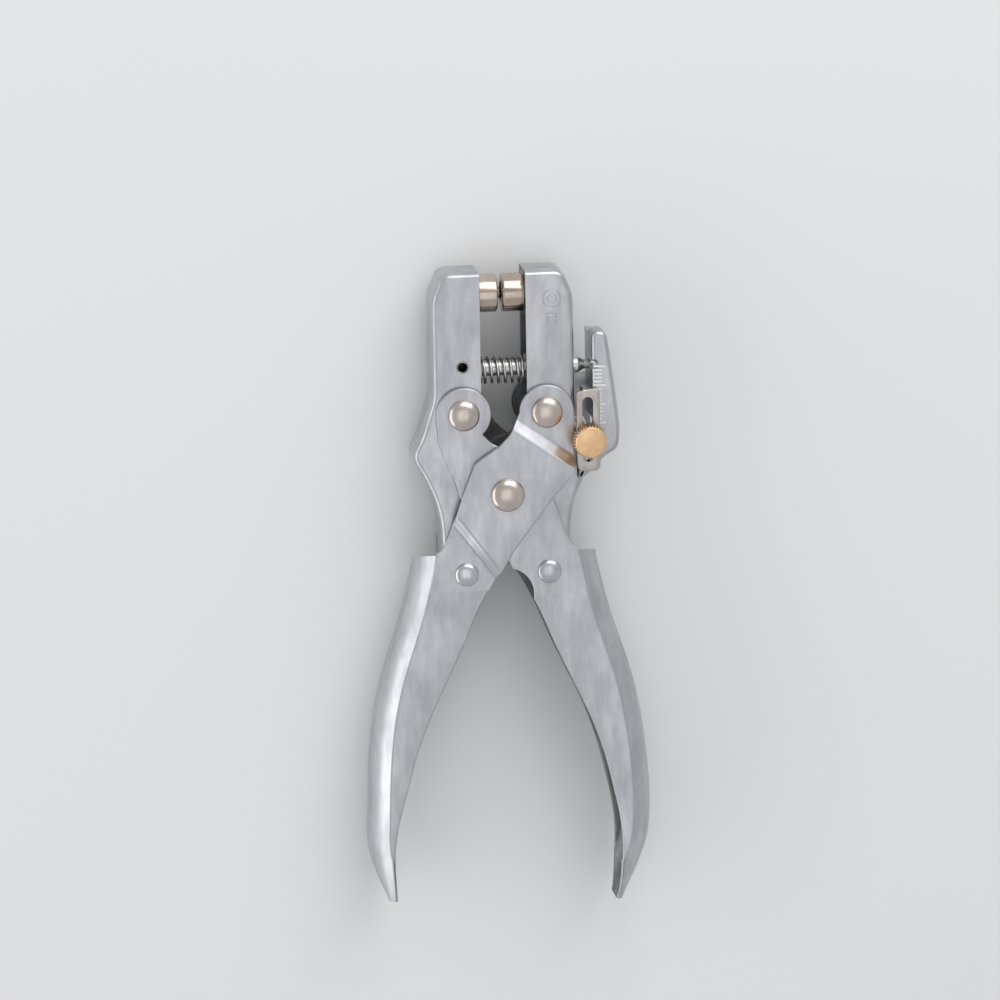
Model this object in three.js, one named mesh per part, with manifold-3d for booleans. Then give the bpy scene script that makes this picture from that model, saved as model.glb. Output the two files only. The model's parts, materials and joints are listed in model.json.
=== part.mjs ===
// Eyelet pliers with parallel jaws: two crossed channel handles, two channel jaws that carry the
// setting dies, a guided return spring between them and an adjustable stop with a millimetre scale.
// The pliers lie on their back: +Y points to the jaw tips, +X to the jaw with the scale and +Z up,
// out of the front face. The origin is on the centre pivot, level with the lowest face.
import * as THREE from "three";
import { mergeVertices } from "three/addons/utils/BufferGeometryUtils.js";
import Module from "manifold-3d";

const wasm = await Module();
wasm.setup();

// Driving dimensions, in millimetres
const gripReach = 110.4; // centre pivot to the left grip's end
const rightGripReach = 112.5; // and to the right grip's end
const gripSpread = 37.2; // centre line to the widest point of a grip
const jawReach = 58.8; // centre pivot to the jaw tips
const linkRise = 21.4; // centre pivot to each outer pin, along the pliers
const linkSpread = 11; // centre line to each outer pin
const sheet = 1.5; // thickness of the jaw and handle sheet
const runGap = 0.3; // running gap between neighbouring plates
const seatGap = 0.1; // gap under a head or a seated face
const jawDepth = 14; // outer depth of a jaw channel
const throatHalf = 6.1; // centre line to the open edge of a jaw
const jawWidth = 12.6; // open edge to the back of the right jaw
const leftJawWidth = 12.6; // the same on the left jaw
const overrun = 2; // how far every cutting solid runs past what it cuts

// Pins and rivets
const pinRadius = 2.25; // upper link pins
const pinPlay = 0.2; // radial play of every pin in its plates
const pinHead = 4.15;
const pinDome = 2.1;
const slotPinRadius = 2; // lower pins, which carry the rollers
const slotPinHead = 3.1;
const slotPinDome = 1.4;
const pivotRadius = 2.6; // centre pivot
const pivotHead = 4.45;
const pivotDome = 2.3;
const rearHeadThickness = 1.2;
const rollerWall = 0.8;
const sleeveWall = 1.3;
const slotRise = 4.6; // how far a lower pin climbs in its slot as the pliers open
const slotDrop = 0.5; // and how far it can sink as they close

// Handles
const eyeRadius = 7.3; // round end of a link arm
const gripCorner = 5; // outer bend radius of the grip channel
const scoopRadius = 7.4; // round relief in the flat side of a grip
const upperBend = 14.5; // centre pivot to the upper offset bend of the raised arm
const upperBendRun = 4;
const lowerBend = 13.6; // centre pivot to the lower offset bend
const lowerBendRun = 3;
const wallDrop = 5; // how much lower the rear end of a grip's outer wall lies

// Jaws
const jawBend = 1.3; // outer bend radius of a jaw channel
const jawCorner = 2.4; // rounding of the corners in a jaw's outline
const tailCorner = 3.4; // chamfer at the inner end of a jaw's tail

// Dies
const dieRadius = 5.05;
const rightDieFace = 0.3; // centre line to the right die's face as shown
const leftDieFace = 0.9; // centre line to the left die's face
const dieDrop = 6.5; // jaw tip to the die axis
const dieChamfer = 0.6;
const spigotRadius = 2.9;
const spigotLength = 5.6;
const spigotPlay = 0.2;
const pilotRadius = 1.5;
const pilotLength = 1.5;
const pilotPlay = 0.4;
const curlWidth = 1.3; // width of the ring groove that curls the eyelet
const curlDepth = 0.7;
const holderWidth = 8;
const holderHeight = 9;

// Guide rod and return spring
const rodRise = 32.2; // centre pivot to the rod axis
const collarInset = 0.2; // open edge of a jaw to the spring's seat in it
const rodRadius = 2.1;
const rodPlay = 0.2; // radial play of the rod in its bush
const rodOverhang = 3.2; // rod past the back of the jaw
const noseLength = 2.8;
const noseRadius = 1.2;
const bushWall = 0.7;
const collarRadius = 3.5;
const collarThickness = 0.8;
const rollPinRadius = 1.55;
const rollPinWall = 0.3;
const rollPinInset = 4.8; // open edge of the left jaw to the roll pin
const rollPinLift = 1.7; // roll pin above the rod axis
const wireRadius = 0.42;
const coilRadius = 3.25; // spring axis to the wire's centre
const endPitch = 1.3;
const coilTurns = 7;
const curlSteps = 8;
const wireSides = 5;

// Scale arm, stop and thumb screw
const armSheet = 1;
const armOffset = 4.5; // back of the right jaw to the arm's inner edge
const armWidth = 7.3;
const armTop = 42.4; // centre pivot to the arm's top
const armEnd = 2; // centre pivot to the arm's lower end
const armFlapDepth = 7.6; // flap bent back at the arm's top
const armFootTop = 29.3; // centre pivot to the top of the arm's rear foot
const armCorner = 2.2;
const ledgeRise = 16.6; // centre pivot to the top of the right jaw's ledge
const stopGap = 0.1; // stop's edge past the back of the jaw
const stopWidth = 6.2;
const stopTop = 27.5; // centre pivot to the stop's top edge, as shown
const stopBottom = 5.2;
const stopSheet = 1;
const stopSlotTop = 25.1;
const stopSlotBottom = 7.7;
const stopTabWidth = 2.4;
const stopTabDepth = 5;
const screwRadius = 1.35;
const screwPlay = 0.1;
const screwRise = 14; // centre pivot to the thumb screw axis
const screwInset = 3.1; // back of the jaw to the thumb screw axis
const knobRadius = 4.4;
const knobHeight = 6;
const knobTeeth = 28;
const knobToothDepth = 0.45;
const knobEdge = 0.3;

// Levels and edges that follow from these
const jawFace = jawDepth / 2;
const lowFace = jawFace + runGap;
const lowTop = lowFace + sheet;
const highFace = lowTop + runGap;
const highTop = highFace + sheet;
const restHeight = highTop + seatGap + rearHeadThickness;
const jawBack = throatHalf + jawWidth;
const jawInnerBack = jawBack - sheet;
const leftJawInnerBack = throatHalf + leftJawWidth - sheet;
const dieRise = jawReach - dieDrop;
const rollerRadius = slotPinRadius + pinPlay + rollerWall;
const bushRadius = rodRadius + rodPlay + bushWall;
const channelTopShare = -0.72;
const channelTop = channelTopShare * linkRise;
const tailShare = -1.26;
const tailEnd = tailShare * linkRise;

// Grip stations from the top of the channel to its end: along, outer edge, inner edge, depth
const gripTopShares = [
  [0, 0.642, -0.038, 1], [0.048, 0.659, 0.03, 1], [0.111, 0.696, 0.142, 1], [0.184, 0.745, 0.239, 1],
  [0.269, 0.815, 0.331, 1], [0.363, 0.892, 0.444, 1], [0.468, 0.952, 0.57, 1],
];
const leftGripShares = [
  ...gripTopShares, [0.572, 0.987, 0.672, 1], [0.677, 1.003, 0.745, 1], [0.761, 1.011, 0.805, 1],
  [0.834, 1.015, 0.838, 1], [0.898, 0.985, 0.843, 0.96], [0.948, 0.938, 0.834, 0.86],
  [1, 0.881, 0.823, 0.66],
];
const rightGripShares = [
  ...gripTopShares, [0.572, 0.99, 0.667, 1], [0.677, 1.011, 0.734, 1], [0.761, 1.012, 0.779, 1],
  [0.834, 0.989, 0.796, 1], [0.898, 0.927, 0.79, 0.96], [0.948, 0.853, 0.78, 0.84],
  [1, 0.796, 0.761, 0.6],
];
// Link arm outlines, shares of linkSpread and linkRise, seen with the grip on the right
const raisedOuterShares = [[-0.08, 0.75], [0.19, 0.61], [0.76, 0.41]];
const raisedInnerShares = [[-1.11, -0.06], [-1.67, 0.26], [-1.65, 0.44]];
const raisedEyeEnd = 0;
const flatOuterShares = [[-0.38, 0.654], [-0.23, 0.603], [0.05, 0.57], [0.6, 0.4]];
const flatInnerShares = [
  [-1.11, -0.06], [-1.25, 0.196], [-1.37, 0.322], [-1.487, 0.477], [-1.604, 0.64], [-1.647, 0.832],
];
const flatEyeEnd = -0.82;
const armOuterShares = [
  [1.07, 0.01], [1.38, -0.46], [1.49, -0.6], [1.61, -0.69], [1.716, channelTopShare],
];
const rearReliefShare = 1.55; // where a rear plate starts to stop short, share of linkSpread
const scoopShares = [-0.045, -1.285];
const upperBendDirection = new THREE.Vector2(-0.58, 0.815).normalize();
const lowerBendDirection = new THREE.Vector2(0.8, -0.6).normalize();
// Jaw outline: tip shares of jawWidth and jawReach, flare shares of jawWidth and linkRise
const jawTipShares = [[0, 1], [0.78, 1], [1, 0.885]];
const leftFlareShares = [[1, 1.2], [1.27, 0.7]];
const ledgeWidthShare = 1.3;
const jawTailShares = [
  [1.475, 0.47], [1.233, 0.235], [1, -0.075], [0.89, -0.35], [0.87, -0.585], [0.87, tailShare],
];
// Outer edge of the scale arm, shares of armWidth and armTop
const armEdgeShares = [
  [0.55, 1], [0.65, 0.877], [0.81, 0.686], [1, 0.4], [0.98, 0.307], [0.85, 0.243], [0.41, 0.205],
  [0.04, 0.125],
];

function metal(color, roughness) {
  return new THREE.MeshStandardMaterial({ color, roughness, metalness: 1 });
}

const materials = {
  zinc: () => metal(0xa8acb2, 0.42),
  nickel: () => metal(0xc4b8ac, 0.22),
  steel: () => metal(0xc2c5c9, 0.28),
  brass: () => metal(0xcda56e, 0.34),
};

// Turns a closed geometry into a solid that can be joined and cut
function solidOf(geometry) {
  geometry.deleteAttribute("normal");
  geometry.deleteAttribute("uv");
  const merged = mergeVertices(geometry);
  return new wasm.Manifold(new wasm.Mesh({
    numProp: 3,
    vertProperties: merged.attributes.position.array,
    triVerts: new Uint32Array(merged.index.array),
  }));
}

function geometryOf(solid) {
  const mesh = solid.getMesh();
  const geometry = new THREE.BufferGeometry();
  geometry.setAttribute("position", new THREE.BufferAttribute(mesh.vertProperties, 3));
  geometry.setIndex(new THREE.BufferAttribute(mesh.triVerts, 1));
  geometry.computeVertexNormals();
  return geometry;
}

function piece(name, solid, material) {
  const mesh = new THREE.Mesh(geometryOf(solid), material());
  mesh.name = name;
  return mesh;
}

function prism(shape, low, high, curveSegments = 10) {
  const geometry = new THREE.ExtrudeGeometry(shape, {
    depth: high - low, bevelEnabled: false, curveSegments,
  });
  return solidOf(geometry.translate(0, 0, low));
}

function polygon(points) {
  return new THREE.Shape(points.map(([x, y]) => new THREE.Vector2(x, y)));
}

function block(x0, x1, y0, y1, z0, z1) {
  return prism(polygon([[x0, y0], [x1, y0], [x1, y1], [x0, y1]]), z0, z1);
}

function rod(x, y, radius, low, high, segments = 24) {
  const geometry = new THREE.CylinderGeometry(radius, radius, high - low, segments);
  geometry.rotateX(Math.PI / 2);
  return solidOf(geometry.translate(x, y, (low + high) / 2));
}

// A turned piece: profile points are radius and height, the axis is Z
function turned(profile, segments = 28) {
  const points = profile.map(([radius, height]) => new THREE.Vector2(radius, height));
  const geometry = new THREE.LatheGeometry(points, segments);
  return solidOf(geometry.rotateX(Math.PI / 2));
}

// Lays a piece that was turned about Z along X, at a height on the centre plane
function alongX(solid, rise) {
  return solid.rotate([0, 90, 0]).translate([0, rise, 0]);
}

// Rounds the inner corners of an open run of points
function roundedRun(points, radius) {
  const rounded = [points[0]];
  for (let i = 1; i < points.length - 1; i += 1) {
    const corner = new THREE.Vector2(...points[i]);
    const [before, after] = [points[i - 1], points[i + 1]].map((point) => {
      const edge = new THREE.Vector2(...point).sub(corner);
      return edge.setLength(Math.min(radius, edge.length() / 2)).add(corner);
    });
    const curve = new THREE.QuadraticBezierCurve(before, corner, after);
    rounded.push(...curve.getPoints(3).map((point) => [point.x, point.y]));
  }
  rounded.push(points[points.length - 1]);
  return rounded;
}

// Moves an open run of points to its right-hand side
function insetRun(points, distance) {
  const normals = points.slice(1).map(([x, y], i) => {
    const edge = new THREE.Vector2(x - points[i][0], y - points[i][1]).normalize();
    return new THREE.Vector2(edge.y, -edge.x);
  });
  return points.map(([x, y], i) => {
    const before = normals[Math.max(i - 1, 0)];
    const after = normals[Math.min(i, normals.length - 1)];
    const shift = before.clone().add(after).multiplyScalar(distance / (1 + before.dot(after)));
    return [x + shift.x, y + shift.y];
  });
}

// Skins a row of equal rings and closes both ends
function loft(rings, caps) {
  const size = rings[0].length;
  const faces = [];
  for (let i = 0; i < rings.length - 1; i += 1) {
    for (let k = 0; k < size; k += 1) {
      const [a, b] = [i * size + k, i * size + ((k + 1) % size)];
      faces.push(a, b, b + size, a, b + size, a + size);
    }
  }
  const last = (rings.length - 1) * size;
  caps.forEach(([a, b, c]) => faces.push(c, b, a, last + a, last + b, last + c));
  const geometry = new THREE.BufferGeometry().setFromPoints(rings.flat());
  geometry.setIndex(faces);
  return solidOf(geometry);
}

// Section of the grip channel across X and Z, open towards its inner edge
function channelSection(outer, inner) {
  const corner = Math.min(gripCorner, (outer - inner) * 0.95);
  const quarter = Math.PI / 2;
  const outerArc = new THREE.Path();
  outerArc.moveTo(inner, -lowTop);
  outerArc.absarc(outer - corner, -lowTop + corner, corner, -quarter, 0, false);
  outerArc.absarc(outer - corner, lowTop - corner, corner, 0, quarter, false);
  outerArc.lineTo(inner, lowTop);
  const bore = Math.max(corner - sheet, seatGap / 2);
  outerArc.lineTo(inner, lowFace);
  outerArc.absarc(outer - sheet - bore, lowFace - bore, bore, quarter, 0, true);
  outerArc.absarc(outer - sheet - bore, -lowFace + bore, bore, 0, -quarter, true);
  outerArc.lineTo(inner, -lowFace);
  return outerArc.getPoints(2);
}

function gripStation(reach, [along, outer, inner, depth]) {
  return {
    y: THREE.MathUtils.lerp(channelTop, -reach, along),
    outer: outer * gripSpread,
    inner: inner * gripSpread,
    depth,
  };
}

function gripChannel({ reach, shares }) {
  const stations = shares.map((share) => gripStation(reach, share));
  const sections = stations.map(({ outer, inner }) => channelSection(outer, inner));
  const rings = sections.map((section, i) => (
    section.map((point) => new THREE.Vector3(point.x, stations[i].y, point.y * stations[i].depth))
  ));
  return loft(rings, THREE.ShapeUtils.triangulateShape(sections[0], []));
}

// Outline of a link arm from its eye to where it merges with the grip channel
function armOutline({ reach }, outerShares, innerShares, eyeEnd) {
  const place = ([x, y]) => [x * linkSpread, y * linkRise];
  const [top, middle, low] = gripTopShares.slice(0, 3).map((share) => gripStation(reach, share));
  const outline = new THREE.Shape();
  outline.absarc(-linkSpread, linkRise, eyeRadius, Math.PI, eyeEnd, true);
  [...outerShares, ...armOuterShares].map(place).forEach(([x, y]) => outline.lineTo(x, y));
  outline.lineTo(top.outer - gripCorner, channelTop);
  outline.lineTo(low.outer - gripCorner, low.y);
  outline.lineTo(low.inner, low.y);
  outline.lineTo(middle.inner, middle.y);
  outline.lineTo(top.inner, top.y);
  innerShares.map(place).forEach(([x, y]) => outline.lineTo(x, y));
  return outline;
}

// A sheet that steps from the high level down to the low one, across a direction in the plane
function offsetSheet(direction, start, run) {
  const reach = gripReach;
  const profile = polygon([
    [-reach, highFace], [start, highFace], [start + run, lowFace], [reach, lowFace],
    [reach, lowTop], [start + run, lowTop], [start, highTop], [-reach, highTop],
  ]);
  const geometry = new THREE.ExtrudeGeometry(profile, { depth: 2 * reach, bevelEnabled: false });
  geometry.translate(0, 0, -reach);
  const across = new THREE.Vector3(direction.x, direction.y, 0);
  const up = new THREE.Vector3(0, 0, 1);
  const basis = new THREE.Matrix4().makeBasis(across, up, across.clone().cross(up));
  return solidOf(geometry.applyMatrix4(basis));
}

// The raised arm, built at the front: high over the crossing, low at its eye and at the grip
function raisedArm(grip) {
  const [half, long] = [sheet, 2 * gripReach];
  const above = block(-long, long, -half, long, -long, long);
  const below = block(-long, long, -long, half, -long, long);
  const upper = offsetSheet(upperBendDirection, upperBend, upperBendRun).intersect(above);
  const lower = offsetSheet(lowerBendDirection, lowerBend, lowerBendRun).intersect(below);
  const outline = armOutline(grip, raisedOuterShares, raisedInnerShares, raisedEyeEnd);
  return prism(outline, lowFace - overrun, highTop + overrun).intersect(upper.add(lower));
}

// What the raised arm replaces in the channel's wall
function bendRelief() {
  const reach = gripReach;
  const edge = lowerBend + lowerBendRun;
  const geometry = new THREE.BoxGeometry(reach + edge, 2 * reach, jawDepth);
  geometry.translate((edge - reach) / 2, 0, lowFace + jawDepth / 2 - seatGap);
  geometry.rotateZ(lowerBendDirection.angle());
  return solidOf(geometry);
}

// What the outer wall's end leaves out, so that it slopes down to the rear side of the pliers
function wallSlope(rear) {
  const [front, back] = [-rear * (lowTop + overrun), rear * (lowTop + overrun)];
  const wedge = polygon([
    [channelTop, front], [channelTop - wallDrop, back],
    [channelTop + overrun, back], [channelTop + overrun, front],
  ]);
  const geometry = new THREE.ExtrudeGeometry(wedge, { depth: gripSpread, bevelEnabled: false });
  const axes = [new THREE.Vector3(0, 1, 0), new THREE.Vector3(0, 0, 1), new THREE.Vector3(1, 0, 0)];
  return solidOf(geometry.applyMatrix4(new THREE.Matrix4().makeBasis(...axes)));
}

// The rear plate stops short above the grip, level with the low end of the outer wall
function rearRelief(rear) {
  const levels = [rear * sheet, rear * (highTop + overrun)].sort((a, b) => a - b);
  const edge = rearReliefShare * linkSpread;
  return block(edge, gripSpread, channelTop - wallDrop, channelTop + wallDrop, ...levels);
}

// One handle with its grip on the right: flat arm at the front, raised arm at the back
function handleSolid(rear, grip) {
  const scoopPlace = [scoopShares[0] * linkSpread, scoopShares[1] * linkRise];
  const scoop = rod(...scoopPlace, scoopRadius, lowFace - seatGap, lowTop + overrun);
  const flatOutline = armOutline(grip, flatOuterShares, flatInnerShares, flatEyeEnd);
  const flatArm = prism(flatOutline, lowFace, lowTop);
  const backRelief = bendRelief().mirror([0, 0, 1]);
  const channel = gripChannel(grip).subtract(backRelief).subtract(wallSlope(rear));
  let handle = channel.add(flatArm).subtract(scoop);
  handle = handle.add(raisedArm(grip).mirror([0, 0, 1])).subtract(rearRelief(rear));
  const depth = highTop + overrun;
  const holes = [
    rod(-linkSpread, linkRise, pinRadius + pinPlay, -depth, depth),
    rod(0, 0, pivotRadius + pinPlay, -depth, depth),
    rod(linkSpread, -linkRise, slotPinRadius + pinPlay, -depth, depth),
  ];
  holes.forEach((hole) => { handle = handle.subtract(hole); });
  return handle;
}

// Outer run of a jaw from the tip of its open edge round its back to the tail
function jawRun(width, flareShares) {
  const tip = jawTipShares.map(([x, y]) => [throatHalf + x * width, y * jawReach]);
  const back = [...flareShares, ...jawTailShares];
  return [...tip, ...back.map(([x, y]) => [throatHalf + x * width, y * linkRise])];
}

function rightJawRun() {
  const run = jawRun(jawWidth, []);
  const ledge = [[jawBack, ledgeRise], [throatHalf + ledgeWidthShare * jawWidth, ledgeRise]];
  run.splice(jawTipShares.length, 0, ...ledge);
  return run;
}

function jawChannel(run) {
  const edge = throatHalf - jawBend - overrun;
  const outline = [...roundedRun(run, jawCorner), [edge, tailEnd], [edge, jawReach]];
  const geometry = new THREE.ExtrudeGeometry(polygon(outline), {
    depth: jawDepth - 2 * jawBend, bevelThickness: jawBend, bevelSize: jawBend,
    bevelOffset: -jawBend, bevelSegments: 2,
  });
  const outer = solidOf(geometry.translate(0, 0, jawBend - jawFace));
  const innerRun = roundedRun(insetRun(run, sheet), jawCorner - sheet);
  innerRun[0] = [edge - overrun, jawReach - sheet];
  const [tailX] = innerRun[innerRun.length - 1];
  innerRun.push([tailX, tailEnd - overrun], [edge - overrun, tailEnd - overrun]);
  const cavity = prism(polygon(innerRun), sheet - jawFace, jawFace - sheet);
  const reach = 2 * jawReach;
  const openSide = polygon([
    [throatHalf, reach], [throatHalf, tailEnd + tailCorner], [throatHalf + tailCorner, tailEnd],
    [throatHalf + tailCorner, -reach], [reach, -reach], [reach, reach],
  ]);
  return outer.subtract(cavity).intersect(prism(openSide, -reach, reach));
}

// Pin hole and roller slot, through both plates of a jaw
function jawHoles() {
  const radius = rollerRadius + pinPlay;
  const slot = new THREE.Shape();
  slot.absarc(linkSpread, slotRise - linkRise, radius, 0, Math.PI, false);
  slot.absarc(linkSpread, -slotDrop - linkRise, radius, Math.PI, 2 * Math.PI, false);
  const hole = rod(linkSpread, linkRise, pinRadius + pinPlay, -jawDepth, jawDepth);
  return hole.add(prism(slot, -jawDepth, jawDepth));
}

function rollPinPlace() {
  return [throatHalf + rollPinInset, rodRise + rollPinLift];
}

function screwPlace() {
  return [jawBack + screwInset, screwRise];
}

function leftJawSolid() {
  const pinHole = rod(...rollPinPlace(), rollPinRadius + seatGap, -jawDepth, jawDepth);
  const channel = jawChannel(jawRun(leftJawWidth, leftFlareShares));
  return channel.subtract(jawHoles()).subtract(pinHole);
}

function rightJawSolid() {
  const bushHole = rod(0, 0, bushRadius + seatGap, jawInnerBack - overrun, jawBack + overrun);
  const screwHole = rod(...screwPlace(), screwRadius + screwPlay, 0, jawDepth);
  return jawChannel(rightJawRun())
    .subtract(jawHoles())
    .subtract(alongX(bushHole, rodRise))
    .subtract(screwHole);
}

function rivetSolid(radius, head, dome, seat, rearSeat) {
  const profile = [
    [0, -rearSeat - rearHeadThickness], [head, -rearSeat - rearHeadThickness],
    [head, -rearSeat], [radius, -rearSeat], [radius, seat],
  ];
  const steps = 4;
  for (let i = 0; i <= steps; i += 1) {
    const angle = (i / steps) * (Math.PI / 2);
    profile.push([i === steps ? 0 : head * Math.cos(angle), seat + dome * Math.sin(angle)]);
  }
  return turned(profile);
}

function tubeSolid(inner, outer, low, high) {
  return turned([[inner, low], [outer, low], [outer, high], [inner, high], [inner, low]], 24);
}

function holderSolid() {
  const near = throatHalf + seatGap;
  const far = near + holderWidth;
  const top = jawReach - sheet - seatGap;
  const depth = jawFace - sheet - seatGap;
  const body = block(near, far, top - holderHeight, top, -depth, depth);
  const bore = rod(0, 0, spigotRadius + spigotPlay, 0, near + spigotLength + spigotPlay);
  return body.subtract(alongX(bore, dieRise));
}

// Shared by both dies, from the rim of the working face to the spigot's end
function dieBody(face) {
  const shoulder = throatHalf - seatGap;
  return [
    [dieRadius - dieChamfer, face], [dieRadius, face + dieChamfer],
    [dieRadius, shoulder], [spigotRadius, shoulder],
    [spigotRadius, shoulder + spigotLength], [0, shoulder + spigotLength],
  ];
}

function punchDie() {
  const tip = leftDieFace - pilotLength;
  return turned([
    [0, tip], [pilotRadius - dieChamfer, tip], [pilotRadius, tip + dieChamfer],
    [pilotRadius, leftDieFace], ...dieBody(leftDieFace),
  ]);
}

function anvilDie() {
  const face = rightDieFace;
  const bore = pilotRadius + pilotPlay;
  const floor = face + pilotLength;
  return turned([
    [0, floor], [bore, floor], [bore, face + curlDepth / 2],
    [bore + curlWidth / 2, face + curlDepth], [bore + curlWidth, face], ...dieBody(face),
  ]);
}

function guideRodSolid() {
  const collar = throatHalf + collarInset;
  const end = -(jawBack + rodOverhang);
  const rounding = noseRadius / 2;
  const body = turned([
    [0, end - noseLength], [rounding, end - noseLength],
    [noseRadius, end - noseLength + rounding], [noseRadius, end],
    [rodRadius - rounding / 2, end], [rodRadius, end + rounding / 2],
    [rodRadius, collar], [collarRadius, collar], [collarRadius, collar + collarThickness],
    [rodRadius, collar + collarThickness], [rodRadius, leftJawInnerBack - runGap],
    [0, leftJawInnerBack - runGap],
  ], 24);
  const notch = rod(...rollPinPlace(), rollPinRadius + pinPlay, -jawDepth, jawDepth);
  return alongX(body, rodRise).subtract(notch);
}

function guideBushSolid() {
  const face = throatHalf + collarInset;
  const bore = rodRadius + rodPlay;
  const body = turned([
    [bore, face], [collarRadius, face], [collarRadius, face + collarThickness],
    [bushRadius, face + collarThickness], [bushRadius, jawBack + runGap],
    [bore, jawBack + runGap], [bore, face],
  ], 24);
  return alongX(body, rodRise);
}

// Centre line of the spring wire: a helix along X whose end turns lie closer together
function springPoint(turn) {
  const length = 2 * (throatHalf + collarInset - wireRadius - seatGap);
  const pitch = (length - 2 * endPitch) / (coilTurns - 2);
  const first = Math.min(turn, 1) * endPitch;
  const middle = THREE.MathUtils.clamp(turn - 1, 0, coilTurns - 2) * pitch;
  const last = Math.max(turn - coilTurns + 1, 0) * endPitch;
  const angle = turn * 2 * Math.PI;
  return new THREE.Vector3(
    first + middle + last - length / 2,
    rodRise + coilRadius * Math.cos(angle),
    coilRadius * Math.sin(angle),
  );
}

function springSolid() {
  const count = coilTurns * curlSteps;
  const points = Array.from({ length: count + 1 }, (_, i) => springPoint(i / curlSteps));
  let gap = Infinity;
  points.forEach((point, i) => points.slice(i + curlSteps / 2).forEach((other) => {
    gap = Math.min(gap, point.distanceTo(other) - 2 * wireRadius);
  }));
  console.log(`jaw_spring least gap to itself ${gap.toFixed(2)} mm`);
  const rings = points.map((point, i) => {
    const ahead = points[Math.min(i + 1, count)];
    const tangent = ahead.clone().sub(points[Math.max(i - 1, 0)]).normalize();
    const out = new THREE.Vector3(0, point.y - rodRise, point.z).normalize();
    const side = new THREE.Vector3().crossVectors(tangent, out).normalize();
    return Array.from({ length: wireSides }, (_, k) => {
      const angle = (k / wireSides) * 2 * Math.PI;
      const offset = out.clone().multiplyScalar(Math.cos(angle));
      offset.addScaledVector(side, Math.sin(angle));
      return point.clone().addScaledVector(offset, wireRadius);
    });
  });
  const fan = Array.from({ length: wireSides - 2 }, (_, k) => [0, k + 1, k + 2]);
  return loft(rings, fan);
}

// Scale arm: a plate before the jaw's ledge that runs up beside the jaw. A flange on its inner edge
// joins it to a foot behind, and lets the guide rod's nose through.
function scaleArmSolid() {
  const low = jawFace + seatGap;
  const high = low + armSheet;
  const rear = sheet - jawFace;
  const bent = high - armSheet / 2;
  const inner = jawBack + armOffset;
  const left = jawBack + seatGap + stopGap;
  const edge = armEdgeShares.map(([x, y]) => [inner + x * armWidth, y * armTop]);
  const plate = roundedRun([
    [inner, armTop], ...edge, [left, armEnd], [left, ledgeRise], [inner, ledgeRise], [inner, armTop],
  ], armCorner);
  const seat = ledgeRise + jawCorner;
  const flange = block(inner, inner + armSheet, seat, armTop, rear, bent);
  const foot = block(left, inner + armSheet, seat, armFootTop, rear, rear + armSheet);
  const [topEdge] = edge[0];
  const flapEnd = topEdge - armCorner / 2;
  const flap = block(inner, flapEnd, armTop - armSheet, armTop, high - armFlapDepth, bent);
  const noseHole = rod(0, 0, noseRadius + runGap, inner - overrun, inner + overrun);
  const screwHole = rod(...screwPlace(), screwRadius + screwPlay, 0, jawDepth);
  return prism(polygon(plate.slice(1)), low, high)
    .add(flange)
    .add(foot)
    .add(flap)
    .subtract(alongX(noseHole, rodRise))
    .subtract(screwHole);
}

// Stop: a slotted plate on the scale arm with a tab bent into the gap beside the jaw
function stopSolid() {
  const low = jawFace + armSheet + 2 * seatGap;
  const high = low + stopSheet;
  const left = jawBack + stopGap;
  const [screwX] = screwPlace();
  const plate = roundedRun([
    [left + stopWidth / 2, stopBottom], [left + stopWidth, stopBottom],
    [left + stopWidth, stopTop], [left, stopTop - stopSheet], [left, stopBottom],
    [left + stopWidth / 2, stopBottom],
  ], stopSheet);
  const half = screwRadius + screwPlay;
  const slot = new THREE.Shape();
  slot.absarc(screwX, stopSlotTop - half, half, 0, Math.PI, false);
  slot.absarc(screwX, stopSlotBottom + half, half, Math.PI, 2 * Math.PI, false);
  const tabLeft = screwX - stopTabWidth / 2;
  const tab = block(
    tabLeft, tabLeft + stopTabWidth, stopTop - 1.5 * stopSheet, stopTop - stopSheet / 2,
    high - stopTabDepth - stopSheet, high - stopSheet / 2,
  );
  return prism(polygon(plate), low, high).subtract(prism(slot, 0, jawDepth)).add(tab);
}

function thumbScrewSolid() {
  const seat = jawFace + armSheet + stopSheet + 3 * seatGap;
  const rim = new THREE.Shape(Array.from({ length: 2 * knobTeeth }, (_, i) => {
    const radius = i % 2 ? knobRadius : knobRadius - knobToothDepth;
    const angle = (i / knobTeeth) * Math.PI;
    return new THREE.Vector2(radius * Math.cos(angle), radius * Math.sin(angle));
  }));
  const geometry = new THREE.ExtrudeGeometry(rim, {
    depth: knobHeight - 2 * knobEdge, bevelThickness: knobEdge, bevelSize: knobEdge,
    bevelOffset: -knobEdge, bevelSegments: 1,
  });
  const knob = solidOf(geometry.translate(0, 0, seat + knobEdge));
  return knob.add(rod(0, 0, screwRadius, jawFace - sheet, seat + knobHeight / 2, 24));
}

function rivet(name, x, y, [radius, head, dome], seat) {
  const solid = rivetSolid(radius, head, dome, seat + seatGap, seat + seatGap);
  const mesh = piece(name, solid, materials.nickel);
  mesh.position.set(x, y, 0);
  return mesh;
}

function roller(name, x) {
  const solid = tubeSolid(slotPinRadius + pinPlay, rollerRadius, -jawFace, jawFace);
  const mesh = piece(name, solid, materials.steel);
  mesh.position.set(x, -linkRise, 0);
  return mesh;
}

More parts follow.
